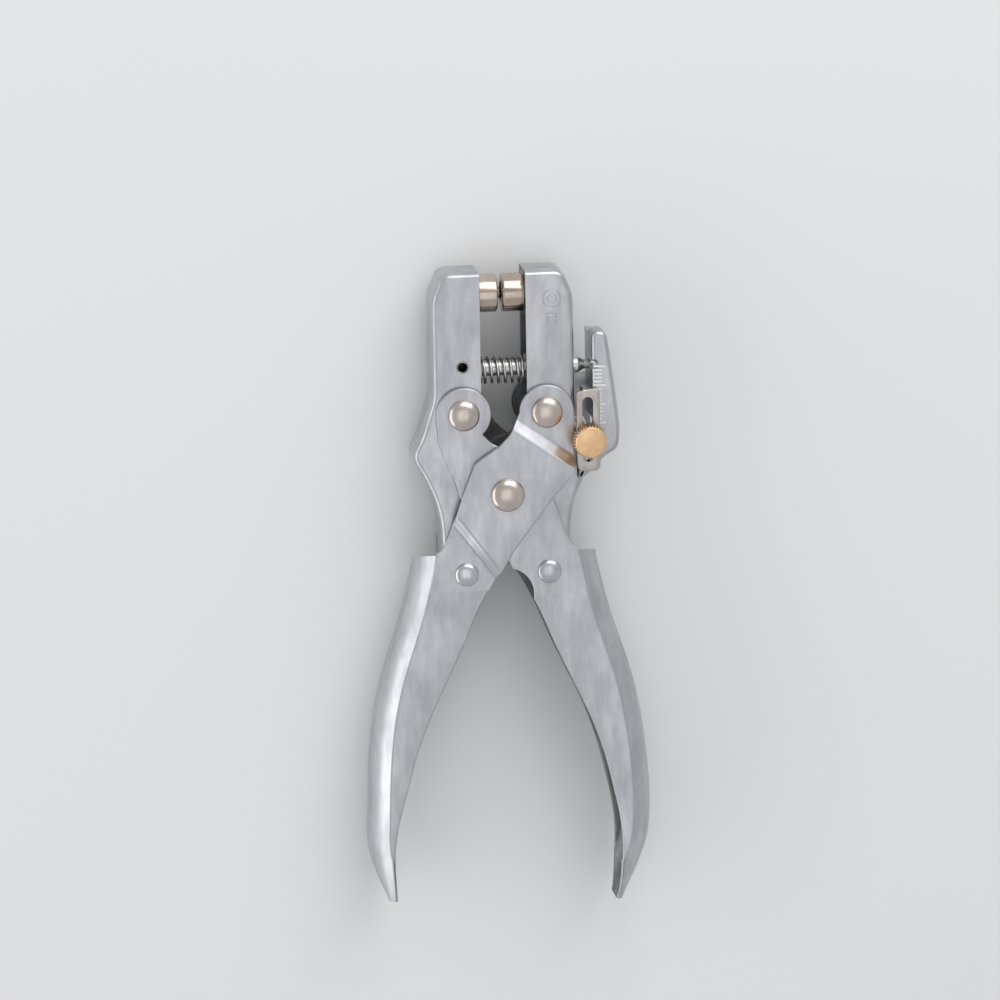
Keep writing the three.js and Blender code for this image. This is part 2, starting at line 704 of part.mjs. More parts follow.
function pins() {
  const upper = [pinRadius, pinHead, pinDome];
  const lower = [slotPinRadius, slotPinHead, slotPinDome];
  const sleeveBore = pivotRadius + pinPlay;
  const sleeve = tubeSolid(sleeveBore, sleeveBore + sleeveWall, seatGap - lowFace, lowFace - seatGap);
  return [
    rivet("pivot_rivet", 0, 0, [pivotRadius, pivotHead, pivotDome], highTop),
    piece("pivot_sleeve", sleeve, materials.steel),
    rivet("upper_left_rivet", -linkSpread, linkRise, upper, lowTop),
    rivet("upper_right_rivet", linkSpread, linkRise, upper, lowTop),
    rivet("lower_left_rivet", -linkSpread, -linkRise, lower, lowTop),
    rivet("lower_right_rivet", linkSpread, -linkRise, lower, lowTop),
    roller("lower_left_roller", -linkSpread),
    roller("lower_right_roller", linkSpread),
  ];
}

function rightSide() {
  const side = new THREE.Group();
  side.add(
    piece("right_handle", handleSolid(-1, { reach: rightGripReach, shares: rightGripShares }), materials.zinc),
    piece("right_jaw", rightJawSolid(), materials.zinc),
    piece("right_die_holder", holderSolid(), materials.steel),
    piece("right_die", alongX(anvilDie(), dieRise), materials.nickel),
    piece("guide_bush", guideBushSolid(), materials.steel),
    piece("scale_arm", scaleArmSolid(), materials.zinc),
    piece("stop_plate", stopSolid(), materials.nickel),
  );
  const thumbScrew = piece("thumb_screw", thumbScrewSolid(), materials.brass);
  thumbScrew.position.set(...screwPlace(), 0);
  side.add(thumbScrew);
  return side;
}

// The left side is the same stock turned over about the long axis
function leftSide() {
  const side = new THREE.Group();
  const rollPin = tubeSolid(
    rollPinRadius - rollPinWall, rollPinRadius, seatGap - jawFace, jawFace - seatGap,
  );
  side.add(
    piece("left_handle", handleSolid(1, { reach: gripReach, shares: leftGripShares }), materials.zinc),
    piece("left_jaw", leftJawSolid(), materials.zinc),
    piece("left_die_holder", holderSolid(), materials.steel),
    piece("left_die", alongX(punchDie(), dieRise), materials.nickel),
    piece("guide_rod", guideRodSolid(), materials.steel),
  );
  const pin = piece("rod_roll_pin", rollPin, materials.steel);
  pin.position.set(...rollPinPlace(), 0);
  side.add(pin);
  side.rotation.y = Math.PI;
  return side;
}

const pliers = new THREE.Group();
pliers.add(leftSide(), rightSide(), ...pins(), piece("jaw_spring", springSolid(), materials.steel));
pliers.position.z = restHeight;

export default pliers;
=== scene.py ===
import json
import math

import bmesh
import bpy
from mathutils import Matrix, Vector


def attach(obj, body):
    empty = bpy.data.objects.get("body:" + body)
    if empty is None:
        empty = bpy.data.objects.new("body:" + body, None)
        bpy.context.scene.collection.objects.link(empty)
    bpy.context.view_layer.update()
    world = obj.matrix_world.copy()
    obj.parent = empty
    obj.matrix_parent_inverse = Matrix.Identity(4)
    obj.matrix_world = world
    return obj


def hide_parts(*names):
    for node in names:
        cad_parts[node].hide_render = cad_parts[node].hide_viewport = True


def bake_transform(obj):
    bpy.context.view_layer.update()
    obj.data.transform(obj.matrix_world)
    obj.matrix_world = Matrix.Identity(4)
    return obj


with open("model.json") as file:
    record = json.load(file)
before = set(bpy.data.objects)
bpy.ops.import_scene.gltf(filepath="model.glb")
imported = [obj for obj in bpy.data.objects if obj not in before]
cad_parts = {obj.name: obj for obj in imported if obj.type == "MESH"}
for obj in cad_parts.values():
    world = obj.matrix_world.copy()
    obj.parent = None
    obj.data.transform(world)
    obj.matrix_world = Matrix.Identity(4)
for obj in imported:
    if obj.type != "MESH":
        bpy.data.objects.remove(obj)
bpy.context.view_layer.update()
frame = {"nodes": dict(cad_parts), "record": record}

# Pieces are built in mm from the middle plane, and placed in metres at the end.
MM = 0.001
MID = 11.9  # height of the middle plane over the rest face


# Materials

COLOR_A, COLOR_B, COLOR_OUT = 6, 7, 2  # sockets of a mix node that blends colours
MASK_SPAN = (0.995, 0.86)  # cosine between a face and its bevel: off an edge, and on it
MASK_SAMPLES = 4
EDGE_RADIUS = 0.18 * MM
# Noises of a metal: scale per metre, detail, roughness and distortion
CLOUDS = (150, 4.0, 0.6, 0.6)
PATCHES = (46, 2.0, 0.5, 0.3)
FINE_GRAIN = (5200, 2.0, 0.6)
STREAKS = (1.0, 4.0, 0.65)
# The part of a noise that is used and what it becomes, 0 to 1 where nothing else is said
CLOUD_TINT = (0.35, 0.68)
STREAK_TINT = (0.42, 0.72, 0.0, 0.35)
STREAK_GLOSS = (0.35, 0.7, 0.05, -0.05)
PATCH_GLOSS = (0.35, 0.65)
# How far the rims are painted towards the lighter edge tint, a painted highlight, and how much
# smoother they are
EDGE_HIGHLIGHT, EDGE_GLOSS = 0.6, 0.08


def node(tree, kind, **values):
    made = tree.nodes.new(kind)
    for key, value in values.items():
        setattr(made, key, value)
    return made


def feed(tree, target, socket, source):
    """Sets a socket from a number, a colour, a name or another node's output."""
    if isinstance(source, bpy.types.NodeSocket):
        tree.links.new(source, target.inputs[socket])
    else:
        target.inputs[socket].default_value = source


def noise(tree, vector, scale, detail=3.0, roughness=0.55, distortion=0.0):
    made = node(tree, "ShaderNodeTexNoise")
    feed(tree, made, "Vector", vector)
    feed(tree, made, "Scale", scale)
    feed(tree, made, "Detail", detail)
    feed(tree, made, "Roughness", roughness)
    feed(tree, made, "Distortion", distortion)
    return made.outputs["Fac"]


def stretched(tree, vector, scale):
    made = node(tree, "ShaderNodeMapping")
    feed(tree, made, "Vector", vector)
    feed(tree, made, "Scale", scale)
    return made.outputs["Vector"]


def span(tree, value, low, high, to_low=0.0, to_high=1.0):
    made = node(tree, "ShaderNodeMapRange")
    feed(tree, made, "Value", value)
    feed(tree, made, "From Min", low)
    feed(tree, made, "From Max", high)
    feed(tree, made, "To Min", to_low)
    feed(tree, made, "To Max", to_high)
    return made.outputs["Result"]


def maths(tree, operation, a, b):
    made = node(tree, "ShaderNodeMath", operation=operation)
    feed(tree, made, 0, a)
    feed(tree, made, 1, b)
    return made.outputs[0]


def blended(tree, factor, a, b):
    made = node(tree, "ShaderNodeMix", data_type="RGBA")
    feed(tree, made, "Factor", factor)
    feed(tree, made, COLOR_A, a)
    feed(tree, made, COLOR_B, b)
    return made.outputs[COLOR_OUT]


def edge_mask(tree, radius):
    """1 at the edges of a piece and 0 on its faces, and the normal that rounds the edges."""
    bevel = node(tree, "ShaderNodeBevel", samples=MASK_SAMPLES)
    feed(tree, bevel, "Radius", radius)
    geometry = node(tree, "ShaderNodeNewGeometry")
    dot = node(tree, "ShaderNodeVectorMath", operation="DOT_PRODUCT")
    feed(tree, dot, 0, bevel.outputs["Normal"])
    feed(tree, dot, 1, geometry.outputs["Normal"])
    return span(tree, dot.outputs["Value"], *MASK_SPAN), bevel.outputs["Normal"]


def metal(name, light, dark, edge, roughness, bumps, streak, metallic=1.0):
    """A plated or turned metal: cloudy tint, fine grain, drawn streaks, and smoother edges painted
    lighter as a highlight.

    roughness runs from low to high, bumps are the heights of grain, streaks and dents in mm,
    and streak is how many streaks a metre has along each axis.
    """
    light, dark, edge = [(*tint, 1) for tint in (light, dark, edge)]
    made = bpy.data.materials.new(name)
    made.use_nodes = True
    tree = made.node_tree
    shader = tree.nodes["Principled BSDF"]
    feed(tree, shader, "Metallic", metallic)
    place = node(tree, "ShaderNodeTexCoord").outputs["Object"]
    clouds = noise(tree, place, *CLOUDS)
    patches = noise(tree, place, *PATCHES)
    fine = noise(tree, place, *FINE_GRAIN)
    drawn = noise(tree, stretched(tree, place, streak), *STREAKS)
    mask, edge_normal = edge_mask(tree, EDGE_RADIUS)

    tint = blended(tree, span(tree, clouds, *CLOUD_TINT), dark, light)
    tint = blended(tree, span(tree, drawn, *STREAK_TINT), tint, edge)
    # Painted highlight: the rims are tinted towards the lighter edge colour.
    tint = blended(tree, maths(tree, "MULTIPLY", mask, EDGE_HIGHLIGHT), tint, edge)
    feed(tree, shader, "Base Color", tint)

    worn = maths(tree, "ADD", span(tree, patches, *PATCH_GLOSS, *roughness),
                 span(tree, drawn, *STREAK_GLOSS))
    worn = maths(tree, "SUBTRACT", worn, maths(tree, "MULTIPLY", mask, EDGE_GLOSS))
    feed(tree, shader, "Roughness", worn)

    grain, lines, dents = [maths(tree, "MULTIPLY", source, height)
                           for source, height in zip((fine, drawn, patches), bumps)]
    bump = node(tree, "ShaderNodeBump")
    feed(tree, bump, "Height", maths(tree, "ADD", maths(tree, "ADD", grain, lines), dents))
    feed(tree, bump, "Distance", MM)
    feed(tree, bump, "Normal", edge_normal)
    feed(tree, shader, "Normal", bump.outputs["Normal"])
    return made


# Each metal: light and dark tint, then a lighter edge tint that paints a highlight on the rims and
# lightens the drawn streaks.
zinc = metal("zinc_plate", (0.50, 0.51, 0.53), (0.445, 0.455, 0.475), (0.80, 0.81, 0.82),
             (0.32, 0.42), (0.004, 0.003, 0.025), (240, 60, 240))
# A darker, rougher copy of the zinc: painted shade on the faces inside the channels.
shaded_inside_zinc = metal("shaded_inside_zinc", (0.27, 0.27, 0.27), (0.18, 0.18, 0.18), (0.50, 0.50, 0.50),
                  (0.50, 0.65), (0.004, 0.005, 0.05), (300, 40, 300))
nickel = metal("polished_nickel", (0.64, 0.56, 0.50), (0.52, 0.45, 0.40), (0.86, 0.82, 0.77),
               (0.20, 0.30), (0.003, 0.004, 0.02), (260, 90, 260))
warm_nickel = metal("warm_nickel", (0.56, 0.46, 0.39), (0.44, 0.36, 0.30), (0.86, 0.80, 0.74),
                    (0.18, 0.28), (0.002, 0.004, 0.01), (90, 900, 900))
# A darker copy of the nickel for the stop plate.
stop_nickel = metal("darker_nickel", (0.50, 0.455, 0.42), (0.42, 0.38, 0.35), (0.84, 0.80, 0.76),
                    (0.26, 0.36), (0.003, 0.004, 0.02), (260, 90, 260))
cool_nickel = metal("cool_nickel", (0.60, 0.625, 0.66), (0.48, 0.50, 0.54), (0.84, 0.86, 0.88),
                    (0.20, 0.30), (0.003, 0.004, 0.03), (260, 90, 260))
steel = metal("bright_steel", (0.70, 0.69, 0.68), (0.56, 0.55, 0.53), (0.88, 0.88, 0.88),
              (0.20, 0.30), (0.002, 0.004, 0.01), (90, 900, 900))
brass = metal("satin_brass", (0.72, 0.47, 0.26), (0.69, 0.445, 0.245), (0.92, 0.72, 0.46),
              (0.24, 0.32), (0.002, 0.002, 0.01), (400, 400, 60))
# Near black: painted shade for the bore of the roll pin.
bore_shade = metal("painted_bore_shade", (0.05, 0.048, 0.045), (0.03, 0.03, 0.03), (0.10, 0.10, 0.10),
                  (0.45, 0.6), (0.002, 0.004, 0.01), (90, 90, 900))
# Near white and not metallic: a painted highlight on the stamped scale marks.
marks_highlight = metal("scale_marks_highlight", (0.90, 0.91, 0.92), (0.84, 0.85, 0.86), (0.94, 0.94, 0.94),
               (0.45, 0.55), (0.002, 0.002, 0.01), (400, 400, 400), metallic=0.0)
FINISH = {"zinc_plated_steel": zinc, "nickel_plate": nickel, "bright_steel": steel, "brass": brass}


# CAD nodes that stay

WELD = 0.002 * MM
SHARP_ANGLE = 38  # degrees


def soft_shading():
    """Geometry nodes that round the shading of a faceted solid and keep its real edges sharp."""
    tree = bpy.data.node_groups.new("soft_shading", "GeometryNodeTree")
    for way in ("INPUT", "OUTPUT"):
        tree.interface.new_socket("Geometry", in_out=way, socket_type="NodeSocketGeometry")
    start, end = node(tree, "NodeGroupInput"), node(tree, "NodeGroupOutput")
    plain = node(tree, "GeometryNodeRemoveAttribute")
    feed(tree, plain, "Name", "custom_normal")
    weld = node(tree, "GeometryNodeMergeByDistance")
    feed(tree, weld, "Distance", WELD)
    smooth = node(tree, "GeometryNodeSetShadeSmooth")
    angle = node(tree, "GeometryNodeInputMeshEdgeAngle")
    sharp = node(tree, "FunctionNodeCompare", operation="GREATER_THAN")
    feed(tree, sharp, 0, angle.outputs["Unsigned Angle"])
    feed(tree, sharp, 1, math.radians(SHARP_ANGLE))
    hard = node(tree, "GeometryNodeSetShadeSmooth", domain="EDGE")
    feed(tree, hard, "Shade Smooth", False)
    feed(tree, hard, "Selection", sharp.outputs["Result"])
    row = [start, plain, weld, smooth, hard, end]
    for source, target in zip(row, row[1:]):
        feed(tree, target, 0, source.outputs[0])
    return tree


shading = soft_shading()
slots = {part["node"]: part["material_slot"] for part in frame["record"]["subparts"]}
for name, part in frame["nodes"].items():
    part.data.materials.clear()
    part.data.materials.append(FINISH[slots[name]])
    part.modifiers.new("shading", "NODES").node_group = shading


# Solids

COUNT, FEW = 96, 48  # segments of a turned piece, and of a small one
SAME, SAME_WHEN_PLACED = 1e-5, 1e-4  # points closer than this are merged
BLUNT = 0.5  # limits how far a sharp corner moves inwards
BEND_SHARE = 0.48  # the most that a rounded corner takes of each edge beside it
THROUGH = 20  # half the height of a hole's cutter
FAR = 300  # past every edge of the tool
OVERRUN = 2  # past the face that a cutter starts at
PAST, FLUSH = 1, 0.1  # the same where there is less room
CREASE_ANGLE = 35  # degrees


def solid(points, faces):
    mesh = bpy.data.meshes.new("solid")
    mesh.from_pydata([tuple(point) for point in points], [], faces)
    work = bmesh.new()
    work.from_mesh(mesh)
    bmesh.ops.remove_doubles(work, verts=work.verts, dist=SAME)
    bmesh.ops.dissolve_degenerate(work, edges=work.edges, dist=SAME)
    bmesh.ops.recalc_face_normals(work, faces=work.faces)
    work.to_mesh(mesh)
    work.free()
    made = bpy.data.objects.new("solid", mesh)
    bpy.context.scene.collection.objects.link(made)
    return made


def skinned(rings, closed=False):
    """A skin over a row of equal rings, with a cap on both ends unless the row is closed."""
    size = len(rings[0])
    rows = len(rings)
    faces = []
    for i in range(rows if closed else rows - 1):
        a, b = i * size, ((i + 1) % rows) * size
        faces += [(a + k, a + (k + 1) % size, b + (k + 1) % size, b + k) for k in range(size)]
    if not closed:
        faces += [tuple(range(size)), tuple(range((rows - 1) * size, rows * size))]
    return solid([point for ring in rings for point in ring], faces)


def inset(outline, distance, weights=None):
    """The outline moved inwards by a distance at every corner. It runs anticlockwise."""
    count = len(outline)
    moved = []
    for i in range(count):
        here, before, after = (Vector(outline[j % count]) for j in (i, i - 1, i + 1))
        first, second = (here - before).normalized(), (after - here).normalized()
        first, second = Vector((-first.y, first.x)), Vector((-second.y, second.x))
        shift = (first + second) * (distance / max(1 + first.dot(second), BLUNT))
        moved.append(here + shift * (weights[i] if weights else 1))
    return moved


def anticlockwise(outline):
    area = sum(a[0] * b[1] - b[0] * a[1] for a, b in zip(outline, outline[1:] + outline[:1]))
    return area > 0


def prism(outline, low, high, edge=0.0, steps=3, weights=None):
    """A plate between two heights, with its rims rounded by the radius edge."""
    outline = [tuple(point) for point in outline]
    if not anticlockwise(outline):
        outline.reverse()
        weights = weights[::-1] if weights else None
    turns = [i / steps * math.pi / 2 for i in range(steps + 1)] if edge else [math.pi / 2]
    rows = [(edge * (1 - math.sin(turn)), low + edge * (1 - math.cos(turn))) for turn in turns]
    rows += [(shift, low + high - height) for shift, height in reversed(rows)]
    rings = []
    for shift, height in rows:
        ring = inset(outline, shift, weights) if shift else outline
        rings.append([(x, y, height) for x, y in ring])
    return skinned(rings)


def box(x0, x1, y0, y1, z0, z1, edge=0.0):
    return prism([(x0, y0), (x1, y0), (x1, y1), (x0, y1)], z0, z1, edge)


def circle(x, y, radius, count):
    turns = [2 * math.pi * i / count for i in range(count)]
    return [(x + radius * math.cos(turn), y + radius * math.sin(turn)) for turn in turns]


def arc(x, y, radius, start, end, steps):
    turns = [math.radians(start + (end - start) * i / steps) for i in range(steps + 1)]
    return [(x + radius * math.cos(turn), y + radius * math.sin(turn)) for turn in turns]


def slot_outline(x, low, high, radius, steps):
    """A slot along Y with round ends about the centres low and high."""
    return arc(x, high, radius, 0, 180, steps) + arc(x, low, radius, 180, 360, steps)


def rod(x, y, radius, low=-THROUGH, high=THROUGH, count=COUNT):
    return prism(circle(x, y, radius, count), low, high)


def turned(profile, count=COUNT):
    """Turned about Z, from a closed profile of radius and height."""
    rings = []
    for i in range(count):
        turn = 2 * math.pi * i / count
        rings.append([(r * math.cos(turn), r * math.sin(turn), h) for r, h in profile])
    return skinned(rings, closed=True)


def moved(piece, x, y):
    piece.data.transform(Matrix.Translation((x, y, 0)))
    return piece


def along_x(piece, rise):
    """Lays a piece that was turned about Z along X, at a height on the centre plane."""
    piece.data.transform(Matrix.Translation((0, rise, 0)) @ Matrix.Rotation(math.pi / 2, 4, "Y"))
    return piece


def on_edge(piece):
    """Stands a plate on its edge: X and Y of its outline become Y and Z, its height becomes X."""
    piece.data.transform(Matrix(((0, 0, 1, 0), (1, 0, 0, 0), (0, 1, 0, 0), (0, 0, 0, 1))))
    return piece


def over(piece):
    """Turns a piece over about the long axis, from the right side to the left one."""
    piece.data.transform(Matrix.Rotation(math.pi, 4, "Y"))
    return piece


def to_rear(piece):
    """Mirrors a piece from the front to the rear."""
    piece.data.transform(Matrix.Scale(-1, 4, (0, 0, 1)))
    piece.data.flip_normals()
    return piece


def joined(kind, piece, *others):
    for other in others:
        step = piece.modifiers.new("step", "BOOLEAN")
        step.operation = kind
        step.solver = "MANIFOLD"
        step.object = other
        bpy.context.view_layer.update()
        result = piece.evaluated_get(bpy.context.evaluated_depsgraph_get())
        mesh = bpy.data.meshes.new_from_object(result)
        piece.modifiers.clear()
        piece.data = mesh
        bpy.data.objects.remove(other)
    return piece


def cut(piece, *others):
    return joined("DIFFERENCE", piece, *others)


def add(piece, *others):
    return joined("UNION", piece, *others)


def rounded(points, radius, steps=8):
    """Rounds the inner corners of an open run of points, by one radius or one for each."""
    corners = points[1:-1]
    radii = radius if isinstance(radius, list) else [radius] * len(corners)
    run = [Vector(points[0])]
    for before, corner, after, bend in zip(points, corners, points[2:], radii):
        corner = Vector(corner)
        ends = []
        for other in (before, after):
            edge = Vector(other) - corner
            ends.append(corner + edge * (min(bend, edge.length * BEND_SHARE) / edge.length))
        for i in range(steps + 1):
            t = i / steps
            run.append(ends[0] * (1 - t) ** 2 + corner * (2 * t * (1 - t)) + ends[1] * t * t)
    run.append(Vector(points[-1]))
    return run


def placed(piece, name, body, material, nodes, crease=CREASE_ANGLE):
    """Scales a finished solid to metres, lifts it to its place and hands it to its body."""
    work = bmesh.new()
    work.from_mesh(piece.data)
    bmesh.ops.triangulate(work, faces=work.faces)
    bmesh.ops.remove_doubles(work, verts=work.verts, dist=SAME_WHEN_PLACED)
    bmesh.ops.dissolve_degenerate(work, edges=work.edges, dist=SAME_WHEN_PLACED)
    work.to_mesh(piece.data)
    work.free()
    piece.data.transform(Matrix.Scale(MM, 4) @ Matrix.Translation((0, 0, MID)))
    piece.name = piece.data.name = name
    piece.data.materials.clear()
    piece.data.materials.append(material)
    piece.data.shade_smooth()
    piece.data.set_sharp_from_angle(angle=math.radians(crease))
    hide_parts(*nodes)
    if body:
        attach(piece, body)
    return piece


INWARD, SIDEWAYS = -0.35, -0.3  # how far a face looks into the channel to get painted shade
WALL_HALF = 4  # half the height of the wall that gets painted shade


def paint_inside_shade(piece, side):
    """Paints shade on the faces that look into a channel, in a darker and rougher zinc. Its wall is
    on the given side.
    """
    piece.data.materials.append(shaded_inside_zinc)
    for face in piece.data.polygons:
        height = face.center.z / MM - MID
        to_middle = face.normal.z * math.copysign(1, height) < INWARD
        wall = abs(height) < WALL_HALF and face.normal.x * side < SIDEWAYS
        face.material_index = int(to_middle or wall)


# Sizes that several pieces share

SHEET = 1.5
LINK_X, LINK_Y = 11, 21.4  # centre pivot to each of the four outer pins
LINK_HOLE, PIVOT_HOLE, LOWER_HOLE = 2.45, 2.8, 2.2
JAW_FACE = 7  # middle plane to the front of a jaw
THROAT = 6.1  # centre plane to the open edge of a jaw
JAW_WIDTH, JAW_REACH = 12.6, 58.8
JAW_BACK = THROAT + JAW_WIDTH
ROD_Y = 32.2
PIN_X, PIN_Y = THROAT + 4.8, ROD_Y + 1.7  # the roll pin, on the right side
PIN_HOLE, ROD_CROSS_HOLE = 1.65, 1.75  # of the roll pin, in the jaw and in the rod
SCREW_X, SCREW_Y = JAW_BACK + 3.1, 14.0
SCREW_HOLE = 1.45
SEAT = 6.3  # centre plane to the spring's seat


# Handles

LOW, HIGH = 7.3, 9.1  # rear face of a plate, and of one that steps over the crossing
DROP = HIGH - LOW
RIM, RIM_STEPS = 0.4, 4
LEFT_REACH, RIGHT_REACH = 110.4, 112.5
GRIP_SPREAD = 37.2
CHANNEL_TOP = -0.72 * LINK_Y
# Stations down a grip: along, outer edge, inner edge, depth
GRIP_TOP = [
    (0, 0.642, -0.038, 1), (0.048, 0.659, 0.03, 1), (0.111, 0.696, 0.142, 1),
    (0.184, 0.745, 0.239, 1), (0.269, 0.815, 0.331, 1), (0.363, 0.892, 0.444, 1),
    (0.468, 0.952, 0.57, 1),
]
LEFT_GRIP = GRIP_TOP + [
    (0.572, 0.987, 0.672, 1), (0.677, 1.003, 0.745, 1), (0.761, 1.011, 0.805, 1),
    (0.834, 1.015, 0.838, 1), (0.898, 0.985, 0.843, 0.96), (0.948, 0.938, 0.834, 0.86),
    (1, 0.881, 0.823, 0.66),
]
RIGHT_GRIP = GRIP_TOP + [
    (0.572, 0.99, 0.667, 1), (0.677, 1.011, 0.734, 1), (0.761, 1.012, 0.779, 1),
    (0.834, 0.989, 0.796, 1), (0.898, 0.927, 0.79, 0.96), (0.948, 0.853, 0.78, 0.84),
    (1, 0.796, 0.761, 0.6),
]
GRIP_ROWS, LEAST_STEP = 64, 1e-6
# The outer bend of a grip's section, from its plate to its wall: a creased facet that rolls over
FACET = [(1.2, 0), (1, 0), (0.4, 0.52), (0, 1.12), (0, 1.4)]
FACET_RADII, FACET_STEPS = (0.1, 0.36, 0.36), 10
FACET_WIDTH, INNER_FACET_LOSS, LEAST_FACET = 5, 1.04, 0.05
FACET_SHARE = 0.95  # the most that the facet takes of a narrow grip
# Link arms, in shares of the outer pins' place: outer run, inner run, and the angle in degrees
# where the round eye ends
RAISED_ARM = ([(-0.08, 0.75), (0.19, 0.61), (0.76, 0.41)],
              [(-1.11, -0.06), (-1.67, 0.26), (-1.65, 0.44)], 0)
FLAT_ARM = ([(-0.38, 0.654), (-0.23, 0.603), (0.05, 0.57), (0.6, 0.4)],
            [(-1.11, -0.06), (-1.25, 0.196), (-1.37, 0.322), (-1.487, 0.477), (-1.604, 0.64),
             (-1.647, 0.832)], -47)
ARM_OUTER = [(1.07, 0.01), (1.38, -0.46), (1.49, -0.6), (1.61, -0.69), (1.717, -0.72)]
OUTER_BEND, INNER_BEND = 1.0, 1.6  # radii along an arm
EYE_RADIUS, EYE_STEPS = 7.3, 40
# Bends of a raised arm: direction, start, run and side along Y
UPPER_BEND, UPPER_START, UPPER_RUN = (-0.58, 0.815), 14.5, 4.0
LOWER_BEND, LOWER_START, LOWER_RUN = (0.8, -0.6), 13.6, 3.0
BENDS = [(Vector(UPPER_BEND).normalized(), UPPER_START, UPPER_RUN, 1),
         (Vector(LOWER_BEND).normalized(), LOWER_START, LOWER_RUN, -1)]
BEND_CUTS = 10
WALL_SLOPE = 5  # how much lower the outer wall of a grip starts on its rear side
RELIEF_X = 1.55 * LINK_X
RELIEF_HEIGHT = 14
SCOOP_X, SCOOP_Y, SCOOP_RADIUS = -0.045 * LINK_X, -1.285 * LINK_Y, 7.4


def grip_place(share, reach):
    return CHANNEL_TOP + share * (-reach - CHANNEL_TOP)


def grip_rows(reach, stations):
    """Place, edges and depth down the grip, on a smooth curve through the measured stations."""
    rows = []
    for i in range(GRIP_ROWS + 1):
        t = i / GRIP_ROWS
        k = max(j for j in range(len(stations) - 1) if stations[j][0] <= t)
        p = [Vector(stations[min(max(j, 0), len(stations) - 1)]) for j in range(k - 1, k + 3)]
        width = p[2].x - p[1].x
        u = (t - p[1].x) / width
        slopes = [(b - a) / max(b.x - a.x, LEAST_STEP) * width for a, b in zip(p, p[2:])]
        point = ((2 * u ** 3 - 3 * u * u + 1) * p[1] + (u ** 3 - 2 * u * u + u) * slopes[0]
                 + (3 * u * u - 2 * u ** 3) * p[2] + (u ** 3 - u * u) * slopes[1])
        rows.append((grip_place(t, reach), point.y * GRIP_SPREAD, point.z * GRIP_SPREAD, point.w))
    return rows


def facet(outer, top, size):
    """The bend of a grip's section, from its outer wall up to its plate."""
    run = rounded([(outer - x * size, top - z * size) for x, z in FACET],
                  [radius * size for radius in FACET_RADII], FACET_STEPS)
    return [tuple(point) for point in run[::-1]][1:-1]


def channel_section(outer, inner):
    """Section of the grip channel across X and Z, with rounded rims."""
    top = LOW + SHEET
    size = min(FACET_WIDTH, (outer - inner) * FACET_SHARE - RIM)
    half = (facet(outer, top, size)
            + arc(inner + RIM, top - RIM, RIM, 90, 180, RIM_STEPS)
            + arc(inner + RIM, LOW + RIM, RIM, 180, 270, RIM_STEPS)
            + facet(outer - SHEET, LOW, max(size - INNER_FACET_LOSS, LEAST_FACET))[::-1])
    return half + [(x, -z) for x, z in half[::-1]]


def grip_channel(reach, stations):
    rings = []
    for y, outer, inner, depth in grip_rows(reach, stations):
        rings.append([(x, y, z * depth) for x, z in channel_section(outer, inner)])
    return skinned(rings)


def at_links(shares):
    return [(x * LINK_X, y * LINK_Y) for x, y in shares]


def arm_outline(reach, outer_run, inner_run, eye_end):
    """Outline of a link arm and how much of the rim's rounding each point takes."""
    top, middle, low = [(grip_place(along, reach), outer * GRIP_SPREAD, inner * GRIP_SPREAD)
                        for along, outer, inner, _ in GRIP_TOP[:3]]
    eye = arc(-LINK_X, LINK_Y, EYE_RADIUS, 180, eye_end, EYE_STEPS)
    outer = rounded([eye[-1]] + at_links(outer_run + ARM_OUTER), OUTER_BEND)[1:]
    inner = rounded([(low[2], low[0]), (middle[2], middle[0]), (top[2], top[0])]
                    + at_links(inner_run) + [eye[0]], INNER_BEND)[1:-1]
    run = [(tuple(point), 1) for point in eye + outer]
    run += [((low[1] - FACET_WIDTH, low[0]), 0), ((low[2], low[0]), 0)]
    run += [(tuple(point), 1) for point in inner]
    return [point for point, _ in run], [weight for _, weight in run]


def arm_plate(reach, arm, low):
    outline, weights = arm_outline(reach, *arm)
    return prism(outline, low, low + SHEET, RIM, RIM_STEPS, weights)


def raised_arm(reach):
    """The arm that steps over the crossing and back down at its eye and at the grip."""
    arm = arm_plate(reach, RAISED_ARM, 0)
    work = bmesh.new()
    work.from_mesh(arm.data)
    for direction, start, run, _ in BENDS:
        for i in range(BEND_CUTS + 1):
            place = direction * (start + run * i / BEND_CUTS)
            bmesh.ops.bisect_plane(
                work, geom=work.verts[:] + work.edges[:] + work.faces[:], dist=SAME,
                plane_co=(place.x, place.y, 0), plane_no=(direction.x, direction.y, 0))
    for vert in work.verts:
        fall = 0
        for direction, start, run, side in BENDS:
            if vert.co.y * side > 0:
                t = min(max((vert.co.xy.dot(direction) - start) / run, 0), 1)
                fall = max(fall, t * t * (3 - 2 * t))
        vert.co.z += HIGH - DROP * fall
    work.to_mesh(arm.data)
    work.free()
    return arm


def wall_slope(rear):
    """What the outer wall's end leaves out, so that it slopes down to the rear side."""
    reach = LOW + SHEET + OVERRUN
    past = CHANNEL_TOP + OVERRUN
    return on_edge(prism([(CHANNEL_TOP, -rear * reach), (CHANNEL_TOP - WALL_SLOPE, rear * reach),
                          (past, rear * reach), (past, -rear * reach)], 0, GRIP_SPREAD))


def rear_relief(rear):
    """What the rear plate leaves out above the grip, level with the low end of the outer wall."""
    low, high = sorted((rear * SHEET, rear * (HIGH + SHEET + OVERRUN)))
    return box(RELIEF_X, GRIP_SPREAD, CHANNEL_TOP - WALL_SLOPE, CHANNEL_TOP + WALL_SLOPE, low, high)


def crossing_relief():
    """What the grip's rear plate leaves out above the raised arm's lower bend."""
    made = box(-FAR, LOWER_START + LOWER_RUN, -FAR, FAR, LOW - FLUSH, LOW + RELIEF_HEIGHT)
    turn = math.atan2(LOWER_BEND[1], LOWER_BEND[0])
    made.data.transform(Matrix.Rotation(turn, 4, "Z"))
    return to_rear(made)


